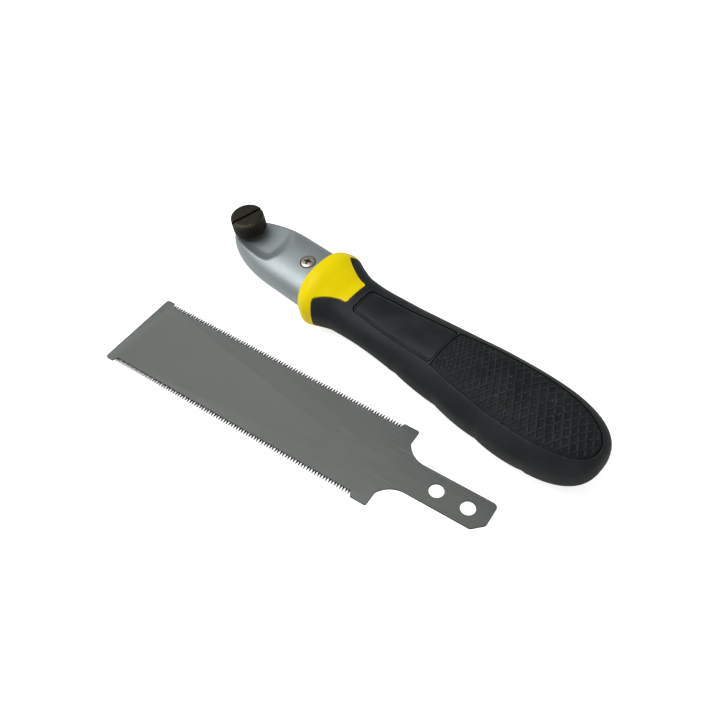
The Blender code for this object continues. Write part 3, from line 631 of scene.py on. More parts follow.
def make_wear_and_highlight_group():
    """Rubbed edges: a broken mask on the corners that stand out, used for wear, and on the knob for painted
    highlight on its corners and knurl crests.
    """
    tree, given, result = new_group(
        "rubbed_edges_and_highlights",
        [("Vector", "Vector", None), ("Reach", "Float", 0.06), ("Patch mm", "Float", 1.5)],
        [("Mask", "Float")],
    )
    shape = add_node(tree, "NewGeometry")
    high = math_of(tree, "ADD", 0.5, given.outputs["Reach"])
    corner = fitted(tree, shape.outputs["Pointiness"], 0.505, high, 0.0, 1.0)
    patches = add_node(
        tree, "TexNoise", Vector=given.outputs["Vector"],
        Scale=math_of(tree, "DIVIDE", 1000.0, given.outputs["Patch mm"]), Detail=4.0,
    )
    broken = fitted(tree, patches.outputs[0], 0.35, 0.6, 0.25, 1.0)
    tree.links.new(math_of(tree, "MULTIPLY", corner, broken), result.inputs["Mask"])
    return tree


GRAIN = make_grain_group()
BRUSHED = make_brushed_group()
WEAR_AND_HIGHLIGHT = make_wear_and_highlight_group()


class Finish:
    """One piece's material: a Principled BSDF and the piece's own coordinates."""

    def __init__(self, name, **uniform):
        self.material = bpy.data.materials.new(name)
        self.material.use_nodes = True
        self.tree = self.material.node_tree
        self.shader = self.tree.nodes["Principled BSDF"]
        self.place = add_node(self.tree, "TexCoord").outputs["Object"]
        for socket, value in uniform.items():
            self.shader.inputs[socket.replace("_", " ")].default_value = value

    def group(self, tree, **sockets):
        made = self.tree.nodes.new("ShaderNodeGroup")
        made.node_tree = tree
        self.tree.links.new(self.place, made.inputs["Vector"])
        for name, value in sockets.items():
            put(self.tree, made.inputs[name.replace("_", " ")], value)
        return made.outputs

    def colour(self, value):
        put(self.tree, self.shader.inputs["Base Color"], value)

    def roughness(self, value):
        put(self.tree, self.shader.inputs["Roughness"], value)

    def bump(self, height, distance, strength=1.0):
        made = add_node(self.tree, "Bump", Height=height, Distance=distance, Strength=strength)
        self.tree.links.new(made.outputs[0], self.shader.inputs["Normal"])

    def math(self, operation, *values):
        return math_of(self.tree, operation, *values)

    def mix(self, share, first, second):
        return between(self.tree, share, first, second)

    def fit(self, value, low, high, to_low, to_high):
        return fitted(self.tree, value, low, high, to_low, to_high)

    def along(self):
        """How far along the piece a point lies, and how far across and up."""
        return add_node(self.tree, "SeparateXYZ", Vector=self.place).outputs


def bench_white():
    """A white bench that is lifted to paper white where it is looked at."""
    finish = Finish("bench_white", Roughness=0.9, Specular_IOR_Level=0.1, Emission_Color=(1.0, 1.0, 1.0, 1.0))
    grain = finish.group(GRAIN, Size_mm=3.0, Drift_mm=400.0)
    finish.colour(finish.mix(grain["Tone"], (0.91, 0.91, 0.91, 1), (0.94, 0.94, 0.94, 1)))
    seen = add_node(finish.tree, "LightPath").outputs["Is Camera Ray"]
    put(finish.tree, finish.shader.inputs["Emission Strength"], finish.math("MULTIPLY", seen, BENCH_LIFT))
    return finish.material


def blade_steel():
    """Brushed spring steel, plain over the toothed part and streaked towards the tang."""
    finish = Finish("blade_steel_brushed", Metallic=0.9)
    lines = finish.group(BRUSHED, Line_mm=0.085, Length_mm=15.0, Drift_mm=40.0)
    heel = finish.fit(finish.along()["X"], 0.070, 0.112, 0.15, 1.0)
    base = finish.mix(lines["Tone"], from_photo(127, 132, 129), from_photo(130, 133, 129))
    streaked = finish.mix(
        finish.math("MULTIPLY", finish.fit(lines["Streaks"], 0.35, 0.7, 0.0, 0.5), heel), base,
        from_photo(148, 153, 149),
    )
    bright = finish.math("MULTIPLY", finish.math("MULTIPLY", lines["Scratches"], heel), 0.3)
    finish.colour(finish.mix(bright, streaked, from_photo(182, 186, 182)))
    finish.roughness(finish.fit(lines["Streaks"], 0.3, 0.7, 0.36, 0.46))
    finish.bump(lines["Streaks"], 0.003 * MM, 0.5)
    return finish.material


def dark_shaded_tooth_steel():
    """Ground and hardened teeth and the plate's edge walls, with painted shade: much darker than the blade, for
    their dark reflections.
    """
    finish = Finish("teeth_and_edges_painted_dark", Metallic=0.85)
    lines = finish.group(BRUSHED, Line_mm=0.05, Length_mm=0.6, Drift_mm=3.0)
    finish.colour(finish.mix(lines["Streaks"], from_photo(20, 22, 22), from_photo(58, 60, 59)))
    finish.roughness(finish.fit(lines["Tone"], 0.0, 1.0, 0.34, 0.5))
    finish.bump(lines["Streaks"], 0.006 * MM, 0.5)
    return finish.material


def silver_paint():
    """Fine metallic lacquer over the casting."""
    finish = Finish("silver_lacquer", Metallic=0.72, Coat_Weight=0.12, Coat_Roughness=0.3)
    grain = finish.group(GRAIN, Size_mm=0.22, Drift_mm=9.0)
    flakes = add_node(
        finish.tree, "TexVoronoi", {"feature": "F1"}, Vector=finish.place, Scale=1000.0 / 0.16,
    )
    lustre = finish.fit(flakes.outputs["Color"], 0.3, 0.95, 0.0, 0.35)
    base = finish.mix(grain["Tone"], from_photo(149, 158, 160), from_photo(156, 164, 166))
    finish.colour(finish.mix(lustre, base, from_photo(188, 196, 200)))
    finish.roughness(finish.fit(grain["Height"], 0.3, 0.9, 0.42, 0.5))
    finish.bump(grain["Height"], 0.012 * MM, 0.5)
    return finish.material


def bronze_with_painted_highlights():
    """Dark chemical bronze, paler on its corners and knurl crests: partly rubbed wear, partly painted highlight.
    """
    finish = Finish("bronzed_knob_painted_highlights", Metallic=0.75)
    grain = finish.group(GRAIN, Size_mm=0.25, Drift_mm=3.0)
    wear_and_highlight = finish.group(WEAR_AND_HIGHLIGHT, Reach=0.09, Patch_mm=0.8)
    base = finish.mix(grain["Tone"], from_photo(41, 38, 33), from_photo(49, 45, 38))
    # Painted highlight, with some rubbed wear: corners and knurl crests are mixed towards a pale bronze.
    finish.colour(finish.mix(finish.math("MULTIPLY", wear_and_highlight["Mask"], 0.6), base, from_photo(114, 107, 96)))
    finish.roughness(finish.fit(grain["Height"], 0.3, 0.9, 0.36, 0.5))
    finish.bump(grain["Height"], 0.01 * MM, 0.6)
    return finish.material


def turned_steel(name, dark, light, rough):
    """Plain steel with fine turning or grinding lines."""
    finish = Finish(name, Metallic=1.0)
    lines = finish.group(BRUSHED, Line_mm=0.06, Length_mm=2.5, Drift_mm=5.0)
    finish.colour(finish.mix(lines["Streaks"], dark, light))
    finish.roughness(finish.fit(lines["Tone"], 0.0, 1.0, rough - 0.05, rough + 0.07))
    finish.bump(lines["Streaks"], 0.004 * MM, 0.5)
    return finish.material


def screw_nickel():
    """Nickel plate, with painted shade down in the cross recess: darker and brassy towards its bottom."""
    finish = Finish("nickel_screw", Metallic=1.0)
    lines = finish.group(BRUSHED, Line_mm=0.07, Length_mm=0.5, Drift_mm=2.0)
    plate = finish.mix(lines["Streaks"], from_photo(160, 155, 146), from_photo(198, 192, 182))
    top = PLATE_SCREW_SEAT + GAP + PLATE_SCREW_HEAD_HEIGHT
    # Painted shade: the recess turns darker and brassy with depth.
    depth = finish.fit(finish.along()["Z"], top - 0.9 * MM, top - 0.15 * MM, 1.0, 0.0)
    finish.colour(finish.mix(depth, plate, from_photo(128, 108, 66)))
    finish.roughness(finish.fit(lines["Tone"], 0.0, 1.0, 0.28, 0.4))
    finish.bump(lines["Streaks"], 0.004 * MM, 0.4)
    return finish.material


def yellow_plastic():
    """Satin nylon with a very fine mould grain."""
    finish = Finish("yellow_nylon", Specular_IOR_Level=0.1)
    grain = finish.group(GRAIN, Size_mm=0.5, Drift_mm=14.0)
    wear_and_highlight = finish.group(WEAR_AND_HIGHLIGHT, Reach=0.08, Patch_mm=1.2)
    base = finish.mix(grain["Tone"], from_photo(248, 222, 0), from_photo(252, 228, 2))
    finish.colour(finish.mix(finish.math("MULTIPLY", wear_and_highlight["Mask"], 0.35), base, from_photo(250, 238, 110)))
    finish.roughness(finish.fit(grain["Height"], 0.3, 0.9, 0.27, 0.36))
    finish.bump(grain["Height"], 0.012 * MM, 0.35)
    return finish.material


def grip_rubber():
    """Satin charcoal rubber with a fine spark grain and faint handling marks."""
    finish = Finish("charcoal_rubber", Specular_IOR_Level=0.15)
    grain = finish.group(GRAIN, Size_mm=0.3, Drift_mm=16.0)
    wear_and_highlight = finish.group(WEAR_AND_HIGHLIGHT, Reach=0.06, Patch_mm=2.0)
    base = finish.mix(grain["Tone"], from_photo(32, 36, 37), from_photo(39, 43, 44))
    finish.colour(finish.mix(finish.math("MULTIPLY", wear_and_highlight["Mask"], 0.3), base, from_photo(82, 86, 88)))
    finish.roughness(finish.fit(grain["Tone"], 0.0, 1.0, 0.46, 0.56))
    finish.bump(grain["Height"], 0.03 * MM, 0.5)
    return finish.material


def label_plastic():
    """The bare plate: smoother and a shade darker than the rubber round it."""
    finish = Finish("label_plate_plastic", Specular_IOR_Level=0.15)
    grain = finish.group(GRAIN, Size_mm=0.2, Drift_mm=10.0)
    finish.colour(finish.mix(grain["Tone"], from_photo(30, 32, 34), from_photo(38, 41, 43)))
    finish.roughness(finish.fit(grain["Tone"], 0.0, 1.0, 0.4, 0.5))
    finish.bump(grain["Height"], 0.015 * MM, 0.4)
    return finish.material


def pad_rubber():
    """Soft rubber between the ribs, paler where the ribs are rubbed."""
    finish = Finish("pad_rubber_ribbed", Specular_IOR_Level=0.12)
    grain = finish.group(GRAIN, Size_mm=0.25, Drift_mm=8.0)
    wear_and_highlight = finish.group(WEAR_AND_HIGHLIGHT, Reach=0.05, Patch_mm=3.0)
    base = finish.mix(grain["Tone"], from_photo(27, 31, 31), from_photo(35, 40, 40))
    finish.colour(finish.mix(finish.math("MULTIPLY", wear_and_highlight["Mask"], 0.5), base, from_photo(74, 82, 82)))
    finish.roughness(finish.fit(grain["Tone"], 0.0, 1.0, 0.5, 0.62))
    finish.bump(grain["Height"], 0.03 * MM, 0.6)
    return finish.material


# Blade

def tooth_gullets():
    """Gullets along one edge, as distances from the tip end of the blade."""
    run = BLADE_CUTTING_LENGTH - TIP_SHOULDER - HEEL_SHOULDER
    count = int(run / TOOTH_PITCH)
    start = TIP_SHOULDER + (run - count * TOOTH_PITCH) / 2
    return [start + TOOTH_PITCH * i for i in range(count + 1)]


def plain_edge(points):
    """Outline points that lie the same on both faces: (kind, low, high, lift)."""
    return [("edge", (x, y), (x, y), 0.0) for x, y in points]


def tooth_row():
    """The teeth of the far edge; each is narrower on the face that it is ground from."""
    tip_line = BLADE_WIDTH / 2 - TOOTH_TIP_INSET
    root = tip_line - TOOTH_HEIGHT
    row = []
    for i, gullet in enumerate(tooth_gullets()[:-1]):
        ground_above = i % 2 == 0
        low_in, high_in = (GULLET_HALF, TOOTH_BEVEL) if ground_above else (TOOTH_BEVEL, GULLET_HALF)
        low_cut, high_cut = (0.0, TIP_BEVEL) if ground_above else (TIP_BEVEL, 0.0)
        lift = TOOTH_SET if ground_above else 0.0
        last = gullet + TOOTH_PITCH
        tip_x = gullet + TOOTH_PITCH * TOOTH_RAKE_SHARE
        row.append(("root", (gullet + low_in, root), (gullet + high_in, root), 0.0))
        row.append(("tip", (tip_x, tip_line - low_cut), (tip_x, tip_line - high_cut), lift))
        row.append(("root", (last - low_in, root), (last - high_in, root), 0.0))
    return row


def blade_side(sign):
    """One long side of the outline, from the tip corner to the tang."""
    half = BLADE_WIDTH / 2
    gullets = tooth_gullets()
    heel, tang = half - HEEL_NOTCH, TANG_WIDTH / 2
    sweep = math.acos(1 - (heel - tang) / NECK_RADIUS)
    neck_x = BLADE_CUTTING_LENGTH + NECK_RADIUS * math.sin(sweep)
    corner = HEEL_CORNER_RADIUS
    tip = arc(TIP_CORNER_RADIUS, half - TIP_CORNER_RADIUS, TIP_CORNER_RADIUS, 180, 90, 8)
    tip.append((gullets[0] - SHOULDER_RAMP, half))
    tail = [(gullets[-1] + SHOULDER_RAMP, half)]
    tail += arc(BLADE_CUTTING_LENGTH - corner, half - corner, corner, 90, 0, 6)
    tail += arc(neck_x, tang + NECK_RADIUS, NECK_RADIUS, 270 - math.degrees(sweep), 270, 20)
    entries = plain_edge(tip) + tooth_row() + plain_edge(tail)
    return [(kind, (lx, sign * ly), (hx, sign * hy), lift) for kind, (lx, ly), (hx, hy), lift in entries]


def tang_end():
    """The tang's end: a rounded far corner and a chamfered near one with eased ends."""
    end = BLADE_CUTTING_LENGTH + TANG_SCREW_HOLE + TANG_HOLE_SPACING + TANG_END_MARGIN
    half, radius = TANG_WIDTH / 2, TANG_CORNER_RADIUS
    ease = radius * math.tan(math.radians(22.5))
    points = arc(end - radius, half - radius, radius, 90, 0, 10)
    points += arc(end - radius, TANG_CHAMFER - half + ease, radius, 0, -45, 5)
    points += arc(end - TANG_CHAMFER - ease, radius - half, radius, -45, -90, 5)
    return plain_edge(points)


def stepped_in(points, amount):
    """A clockwise outline moved in by a small amount."""
    moved = []
    for i, (x, y) in enumerate(points):
        (x0, y0), (x1, y1) = points[i - 1], points[(i + 1) % len(points)]
        length = math.hypot(x1 - x0, y1 - y0)
        moved.append((x + amount * (y1 - y0) / length, y - amount * (x1 - x0) / length))
    return moved


def build_blade():
    """A flat plate, toothed on both sides, with broken edges and two drilled holes."""
    outline = blade_side(1) + tang_end() + list(reversed(blade_side(-1)))
    count = len(outline)
    broken = stepped_in([high for _, _, high, _ in outline], BLADE_EDGE_BREAK)
    low, middle, high = [], [], []
    for (kind, low_xy, high_xy, lift), inner in zip(outline, broken):
        low.append((*low_xy, lift))
        middle.append((*high_xy, BLADE_THICKNESS - BLADE_EDGE_BREAK + lift))
        high.append((*(inner if kind == "edge" else high_xy), BLADE_THICKNESS + lift))
    plate = [i for i in range(count) if outline[i][0] != "tip"]
    faces = [tuple(reversed(plate)), tuple(2 * count + i for i in plate)]
    tooth_faces = []
    for i in range(count):
        j = (i + 1) % count
        walls = faces if outline[i][0] == "edge" and outline[j][0] == "edge" else tooth_faces
        walls += [(i, j, count + j, count + i), (count + i, count + j, 2 * count + j, 2 * count + i)]
        if outline[i][0] == "tip":
            tooth_faces += [(i - 1, i, j), (2 * count + j, 2 * count + i, 2 * count + i - 1)]
    blade = mesh_object("blade_plate", low + middle + high, faces + tooth_faces)
    marks = [0] * len(faces) + [1] * len(tooth_faces)
    blade.data.polygons.foreach_set("material_index", marks)
    holes = []
    for place in (0.0, TANG_HOLE_SPACING):
        x = BLADE_CUTTING_LENGTH + TANG_SCREW_HOLE + place
        wide = TANG_HOLE_RADIUS + BLADE_EDGE_BREAK + CUT
        holes.append(turned("hole", [
            (TANG_HOLE_RADIUS, -CUT), (TANG_HOLE_RADIUS, BLADE_THICKNESS - BLADE_EDGE_BREAK),
            (wide, BLADE_THICKNESS + CUT),
        ], 64, x))
    carved(blade, ("DIFFERENCE", joined("holes", holes)))
    # Every wall, chamfer and hole side takes the dark steel too: painted shade along the plate's edges.
    for face in blade.data.polygons:
        if abs(face.normal.z) < 0.95:
            face.material_index = 1
    finished(
        blade, "blade", "blade", [blade_steel(), dark_shaded_tooth_steel()], BLADE, math.radians(25),
    )


# Handle shapes

def ring(x, near, far, top, bottom, centre, count):
    """One closed superellipse ring across the handle."""
    points = []
    for i in range(count):
        angle = 2 * math.pi * i / count
        across, up = math.cos(angle), math.sin(angle)
        half = far if across >= 0 else near
        height = top if up >= 0 else bottom
        y = half * math.copysign(abs(across) ** (2 / SECTION_POWER), across)
        z = height * math.copysign(abs(up) ** (2 / SECTION_POWER), up)
        points.append((x, centre + y, z))
    return points


def outer_rings(inward=0.0, step=1.2 * MM, count=120, butt_rings=22, last=None):
    """The handle's outer form, or one moved in by a wall, with the collar's rounded lip."""
    end = HANDLE_END - inward
    stations = []
    for i in range(7):
        turn = math.radians(15 * i)
        lip = COLLAR_FRONT + COLLAR_LIP * (1 - math.cos(turn))
        stations.append((lip, COLLAR_LIP * (1 - math.sin(turn))))
    run_end = last or BUTT_START
    stations += [(x, 0.0) for x in spaced(COLLAR_FRONT + COLLAR_LIP, run_end, step)[1:]]
    if last is None:
        stations += [(x, 0.0) for x in crowded_to_end(BUTT_START, end - BUTT_FLAT, butt_rings)]
    rings = []
    for x, drop in stations:
        near, far, top, bottom = handle_section(x, inward)
        sizes = (near - drop, far - drop, top - drop, bottom - drop)
        rings.append(ring(x, *sizes, grip_centre_at(x), count))
    return rings


def closed_plan(far, near):
    """A closed plan outline from its two halves, each measured out from the grip's centre line."""
    outline = [(x, grip_centre_at(x) + y) for x, y in far]
    return outline + [(x, grip_centre_at(x) - y) for x, y in reversed(near)]


def yellow_half(measures, clearance):
    """Half the yellow moulding's plan: a front band, a rounded corner and a tapering lobe."""
    front, inner, radius, lobe = (value * MM for value in measures)
    petal = front + clearance
    lobe += clearance
    side = max(width for _, width in HANDLE_HALF_WIDTHS) * MM + CUT
    points = [(COLLAR_FRONT - CUT, side), (petal + PETAL_SWEEP, side)]
    points += arc(petal + radius, inner + clearance, radius, 165, PETAL_TURN, 10)
    turn_x, turn_y = points[-1]
    for i in range(1, 15):
        share = i / 15
        x = turn_x + share * (LOBE_END - LOBE_CORNER + clearance - turn_x)
        points.append((x, lobe + (turn_y - lobe) * (1 - share) ** WAIST_POWER))
    return points + arc(LOBE_END - LOBE_CORNER + clearance, lobe - LOBE_CORNER, LOBE_CORNER, 80, 0, 5)


def yellow_outline(clearance=0.0):
    """Plan of the yellow moulding where it shows, fuller on its far side."""
    return closed_plan(yellow_half(PETAL_FAR, clearance), yellow_half(PETAL_NEAR, clearance))


def core_rings(clearance=0.0):
    """The core under the grip, drawn in by the grip's wall."""
    end = HANDLE_END - CORE_WALL + clearance
    height = CORE_HALF_HEIGHT + clearance
    stations = spaced(PETAL_FAR[0] * MM - CUT, BUTT_START, 8 * MM)
    stations += crowded_to_end(BUTT_START, end - BUTT_FLAT, 6)
    rings = []
    for x in stations:
        butt = rounded_off(x, BUTT_START, end, BUTT_POWER)
        width = (min(handle_width_at(x) - GRIP_WALL, CORE_HALF_WIDTH) + clearance) * butt
        rings.append(ring(x, width, width, height * butt, height * butt, grip_centre_at(x), 32))
    return rings


# Head casting

def head_section(x):
    """Half-width of the head casting at x, drawn round to the nose."""
    return HEAD_HALF_WIDTH * rounded_off(-x, -NOSE_TAPER_START, NOSE_REACH, NOSE_TAPER_POWER)


def recess_height(x, y):
    """Height of the knob's recess over a point: its floor, then a drafted wall curving round behind."""
    near = y < HEAD_CENTRE
    width = RECESS_NEAR_WIDTH if near else RECESS_FAR_WIDTH
    power = RECESS_NEAR_POWER if near else RECESS_FAR_POWER
    across = abs(y - HEAD_CENTRE) / width
    back = max(x - RECESS_CENTRE, 0.0) / RECESS_REACH
    share = (back**power + across**power) ** (1 / power)
    slope_across = across ** (power - 1) / width
    slope_back = back ** (power - 1) / RECESS_REACH
    slope = math.hypot(slope_across, slope_back) / max(share, 1e-6) ** (power - 1)
    outside = (share - 1) / max(slope, 1.0)
    if outside <= -RECESS_FILLET:
        return RECESS_FLOOR
    rise = 1 / math.tan(RECESS_DRAFT)
    if outside >= RECESS_FILLET:
        return RECESS_FLOOR + rise * outside
    return RECESS_FLOOR + rise * (outside + RECESS_FILLET) ** 2 / (4 * RECESS_FILLET)


def head_rings():
    """The casting's outer form, with the recess sunk into its back and a flat underside."""
    nose = [-x for x in crowded_to_end(-NOSE_TAPER_START, NOSE_REACH - NOSE_FLAT, 120)]
    stations = list(reversed(nose)) + spaced(NOSE_TAPER_START, HEAD_END, 0.9 * MM)
    rings = []
    for x in stations:
        half, height = head_section(x), head_height_at(x)
        points = []
        for px, y, z in ring(x, half, half, height, height, HEAD_CENTRE, 220):
            if z > 0 and x < RECESS_CENTRE + RECESS_REACH + 6 * MM:
                z = float(smooth_least(z, recess_height(px, y), RECESS_SOFTNESS))
            if z < 0:
                z = -float(smooth_least(-z, -HEAD_FLAT_BOTTOM, 0.5 * MM))
            points.append((px, y, z))
        rings.append(points)
    return rings


def build_head():
    head = lofted("head_shell", head_rings())
    tail = block(
        "tail", HEAD_END - 3 * MM, CASTING_TANG_END, CASTING_TANG_HALF_WIDTH,
        -CASTING_TANG_HALF_HEIGHT, CASTING_TANG_HALF_HEIGHT,
    )
    carved(head, ("UNION", tail))
    half = TANG_WIDTH / 2 + 2 * GAP
    ceiling = HEAD_FLAT_BOTTOM + PLATE_THICKNESS + SLOT_HEIGHT
    seat = HEAD_FLAT_BOTTOM + PLATE_THICKNESS + GAP
    slot = block("slot", -2 * NOSE_REACH, SLOT_END, half, -FAR_OUT, ceiling)
    land = block("land", SLOT_END - CUT, PLATE_REAR + GAP, half, -FAR_OUT, seat)
    pin_top = ceiling - PIN_REACH + PIN_LENGTH
    ease = 0.25 * MM
    head_seat = PLATE_SCREW_HEAD_RADIUS + GAP
    back = head_height_at(PLATE_SCREW_X)
    shank, pin, screw = SHANK_RADIUS + GAP, PIN_RADIUS + GAP, PLATE_SCREW_RADIUS + GAP
    bores = [
        turned("bore", [
            (shank, -FAR_OUT), (shank, RECESS_FLOOR - ease), (shank + 2 * ease, RECESS_FLOOR + ease),
        ], 48),
        turned("bore", [(pin, -FAR_OUT), (pin, pin_top + GAP)], 32, TANG_HOLE_SPACING),
        turned("bore", [
            (screw, -FAR_OUT), (screw, PLATE_SCREW_SEAT), (head_seat, PLATE_SCREW_SEAT),
            (head_seat, back - 0.3 * ease), (head_seat + 1.3 * ease, back + ease),
        ], 64, PLATE_SCREW_X),
    ]
    bores += [turned("bore", [(TANG_PIN_RADIUS + GAP, -FAR_OUT), (TANG_PIN_RADIUS + GAP, FAR_OUT)], 24, x)
              for x in TANG_PIN_PLACES]
    carved(head, ("DIFFERENCE", slot), ("DIFFERENCE", land), ("DIFFERENCE", joined("bores", bores)))
    finished(head, "head_casting", "handle", [silver_paint()])


# Thumb screw, washer, clamp and the plate's screw

def fluted_ring(z, radius, depth):
    """A ring with round-topped knurls; depth 0 gives a plain ring of the same count."""
    count = KNURL_COUNT * KNURL_POINTS
    points = []
    for i in range(count):
        angle = 2 * math.pi * i / count
        groove = (0.5 - 0.5 * math.cos(angle * KNURL_COUNT)) ** 1.6
        reach = radius - depth * groove
        points.append((reach * math.cos(angle), reach * math.sin(angle), z))
    return points


def threaded_ring(z, radius, depth):
    """A ring across a screw thread."""
    count = KNURL_COUNT * KNURL_POINTS
    points = []
    for i in range(count):
        angle = 2 * math.pi * i / count
        turn = (z / THREAD_PITCH - i / count) % 1.0
        reach = radius - depth * (1 - abs(2 * turn - 1))
        points.append((reach * math.cos(angle), reach * math.sin(angle), z))
    return points


def build_thumb_screw():
    low = KNOB_UNDERSIDE
    top = low + KNOB_HEIGHT
    band = top - KNOB_CHAMFER - KNOB_BAND
    tip = low - SHANK_LENGTH
    point = 0.4 * MM
    smooth_radius = KNOB_RADIUS - 0.12 * MM
    flat_radius = smooth_radius - 1.3 * KNOB_CHAMFER
    rings = [fluted_ring(tip, SHANK_RADIUS - 2 * point, 0.0)]
    rings += [fluted_ring(tip + point, SHANK_RADIUS - point, 0.0)]
    rings += [threaded_ring(z, SHANK_RADIUS, THREAD_DEPTH)
              for z in spaced(tip + 2 * point, low - 1.6 * MM, THREAD_PITCH / 6)]
    neck = SHANK_RADIUS - 0.2 * MM
    rings += [fluted_ring(low - 1.4 * MM, neck, 0.0), fluted_ring(low, neck, 0.0)]
    ease = 0.45 * MM
    for z, radius, depth in (
        (low, KNOB_RADIUS - ease, 0.0),
        (low + 0.1 * ease, KNOB_RADIUS - 0.6 * ease, 0.0),
        (low + 0.55 * ease, KNOB_RADIUS - 0.15 * ease, 0.5 * KNURL_DEPTH),
        *((z, KNOB_RADIUS, KNURL_DEPTH) for z in spaced(low + ease, band - 0.5 * MM, 0.9 * MM)),
        (band - 0.25 * MM, KNOB_RADIUS - 0.03 * MM, 0.7 * KNURL_DEPTH),
        (band, KNOB_RADIUS - 0.08 * MM, 0.2 * KNURL_DEPTH),
        (band + 0.1 * MM, smooth_radius, 0.0),
        (band + 0.5 * MM, smooth_radius, 0.0),
        (top - KNOB_CHAMFER - 0.12 * MM, smooth_radius, 0.0),
        (top - KNOB_CHAMFER + 0.05 * MM, smooth_radius - 0.06 * MM, 0.0),
        (top - 0.1 * MM, flat_radius + 0.1 * MM, 0.0),
        (top - 0.02 * MM, flat_radius - 0.1 * MM, 0.0),
        (top, flat_radius - 0.45 * MM, 0.0),
    ):
        rings.append(fluted_ring(z, radius, depth))
    screw = lofted("thumb_knob_screw", rings)
    half = DRIVER_SLOT_WIDTH / 2
    ease = 0.2 * MM
    cos_turn, sin_turn = math.cos(DRIVER_SLOT_TURN), math.sin(DRIVER_SLOT_TURN)
    rows = []
    for reach, height in (
        (half, top - DRIVER_SLOT_DEPTH), (half, top - ease), (half + 2.2 * ease, top + ease),
    ):
        corners = ((-KNOB_RADIUS - CUT, -reach), (KNOB_RADIUS + CUT, -reach),
                   (KNOB_RADIUS + CUT, reach), (-KNOB_RADIUS - CUT, reach))
        rows.append([(s * cos_turn - t * sin_turn, s * sin_turn + t * cos_turn, height) for s, t in corners])
    carved(screw, ("DIFFERENCE", lofted("driver_slot", rows)))
    finished(screw, "thumb_screw", "thumb_knob", [bronze_with_painted_highlights()])


def build_thumb_washer():
    high = KNOB_UNDERSIDE - GAP
    low = high - WASHER_THICKNESS
    ease = 0.12 * MM
    washer = turned("washer_ring", [
        (WASHER_RADIUS - ease, low), (WASHER_RADIUS, low + ease), (WASHER_RADIUS, high - ease),
        (WASHER_RADIUS - ease, high),
    ], 72)
    bore = SHANK_RADIUS + GAP
    carved(washer, ("DIFFERENCE", turned("bore", [(bore, low - CUT), (bore, high + CUT)], 48)))
    steel = turned_steel("washer_steel", from_photo(150, 152, 152), from_photo(196, 198, 198), 0.3)
    finished(washer, "thumb_washer", "thumb_carriage", [steel])


def build_clamp():
    """The clamp plate with a rounded front, and the brass bush that the thumb screw pulls on."""
    low, high = HEAD_FLAT_BOTTOM, HEAD_FLAT_BOTTOM + PLATE_THICKNESS
    half = TANG_WIDTH / 2 + GAP
    outline = arc(PLATE_FRONT + half, 0.0, half, 90, 270, 40)
    outline += [(PLATE_REAR, -half), (PLATE_REAR, half)]
    plate = extruded("plate_body", outline, low, high)
    holes = [
        turned("hole", [(radius, low - CUT), (radius, high + CUT)], 48, x)
        for x, radius in (
            (0.0, BUSH_RADIUS + 0.5 * GAP), (TANG_HOLE_SPACING, PIN_RADIUS + 2 * GAP),
            (PLATE_SCREW_X, PLATE_SCREW_RADIUS + GAP),
        )
    ]
    carved(plate, ("DIFFERENCE", joined("holes", holes)))
    edges_broken(plate, 0.18 * MM)
    steel = turned_steel("clamp_plate_zinc", from_photo(132, 134, 136), from_photo(172, 174, 174), 0.34)
    finished(plate, "clamp_plate", "clamp", [steel])
    ease = 0.2 * MM
    bush = turned("bush_body", [
        (BUSH_RADIUS - ease, low), (BUSH_RADIUS, low + ease),
        (BUSH_RADIUS, high - ease), (BUSH_RADIUS - ease, high),
    ], 64)
    bore = SHANK_RADIUS + 0.5 * GAP
    carved(bush, ("DIFFERENCE", turned("bore", [
        (bore + 3 * ease, low - 2 * ease), (bore, low + ease),
        (bore, high - ease), (bore + 3 * ease, high + 2 * ease),
    ], 48)))
    brass = turned_steel("bush_brass_turned", from_photo(176, 142, 78), from_photo(214, 182, 118), 0.26)
    finished(bush, "threaded_bush", "clamp", [brass])


def build_plate_screw():
    seat = PLATE_SCREW_SEAT + GAP
    top = seat + PLATE_SCREW_HEAD_HEIGHT
    dome = 0.55 * MM
    profile = [(PLATE_SCREW_RADIUS, HEAD_FLAT_BOTTOM + GAP), (PLATE_SCREW_RADIUS, seat)]
    profile += [(PLATE_SCREW_HEAD_RADIUS - 0.1 * MM, seat), (PLATE_SCREW_HEAD_RADIUS, seat + 0.15 * MM)]
    side_top = top - dome
    for i in range(9):
        turn = math.radians(90 * i / 8.5)
        profile.append((PLATE_SCREW_HEAD_RADIUS * math.cos(turn) ** 0.7, side_top + dome * math.sin(turn)))
    screw = turned("plate_screw_head", profile, 64, PLATE_SCREW_X)
    arms = []
    for turn in (math.radians(22), math.radians(112)):
        rows = []
        for reach, half, height in ((0.75, 0.36, -1.2), (1.75, 0.5, 0.1), (1.8, 0.54, 1.0)):
            corners = ((-reach, -half), (reach, -half), (reach, half), (-reach, half))
            rows.append([
                (PLATE_SCREW_X + (s * math.cos(turn) - t * math.sin(turn)) * MM,
                 (s * math.sin(turn) + t * math.cos(turn)) * MM, top + height * MM) for s, t in corners
            ])
        arms.append(lofted("cross_arm", rows))
    carved(screw, ("DIFFERENCE", arms[0]), ("DIFFERENCE", arms[1]))
    finished(screw, "plate_screw", "handle", [screw_nickel()])


# Core, grip and inlaid panels

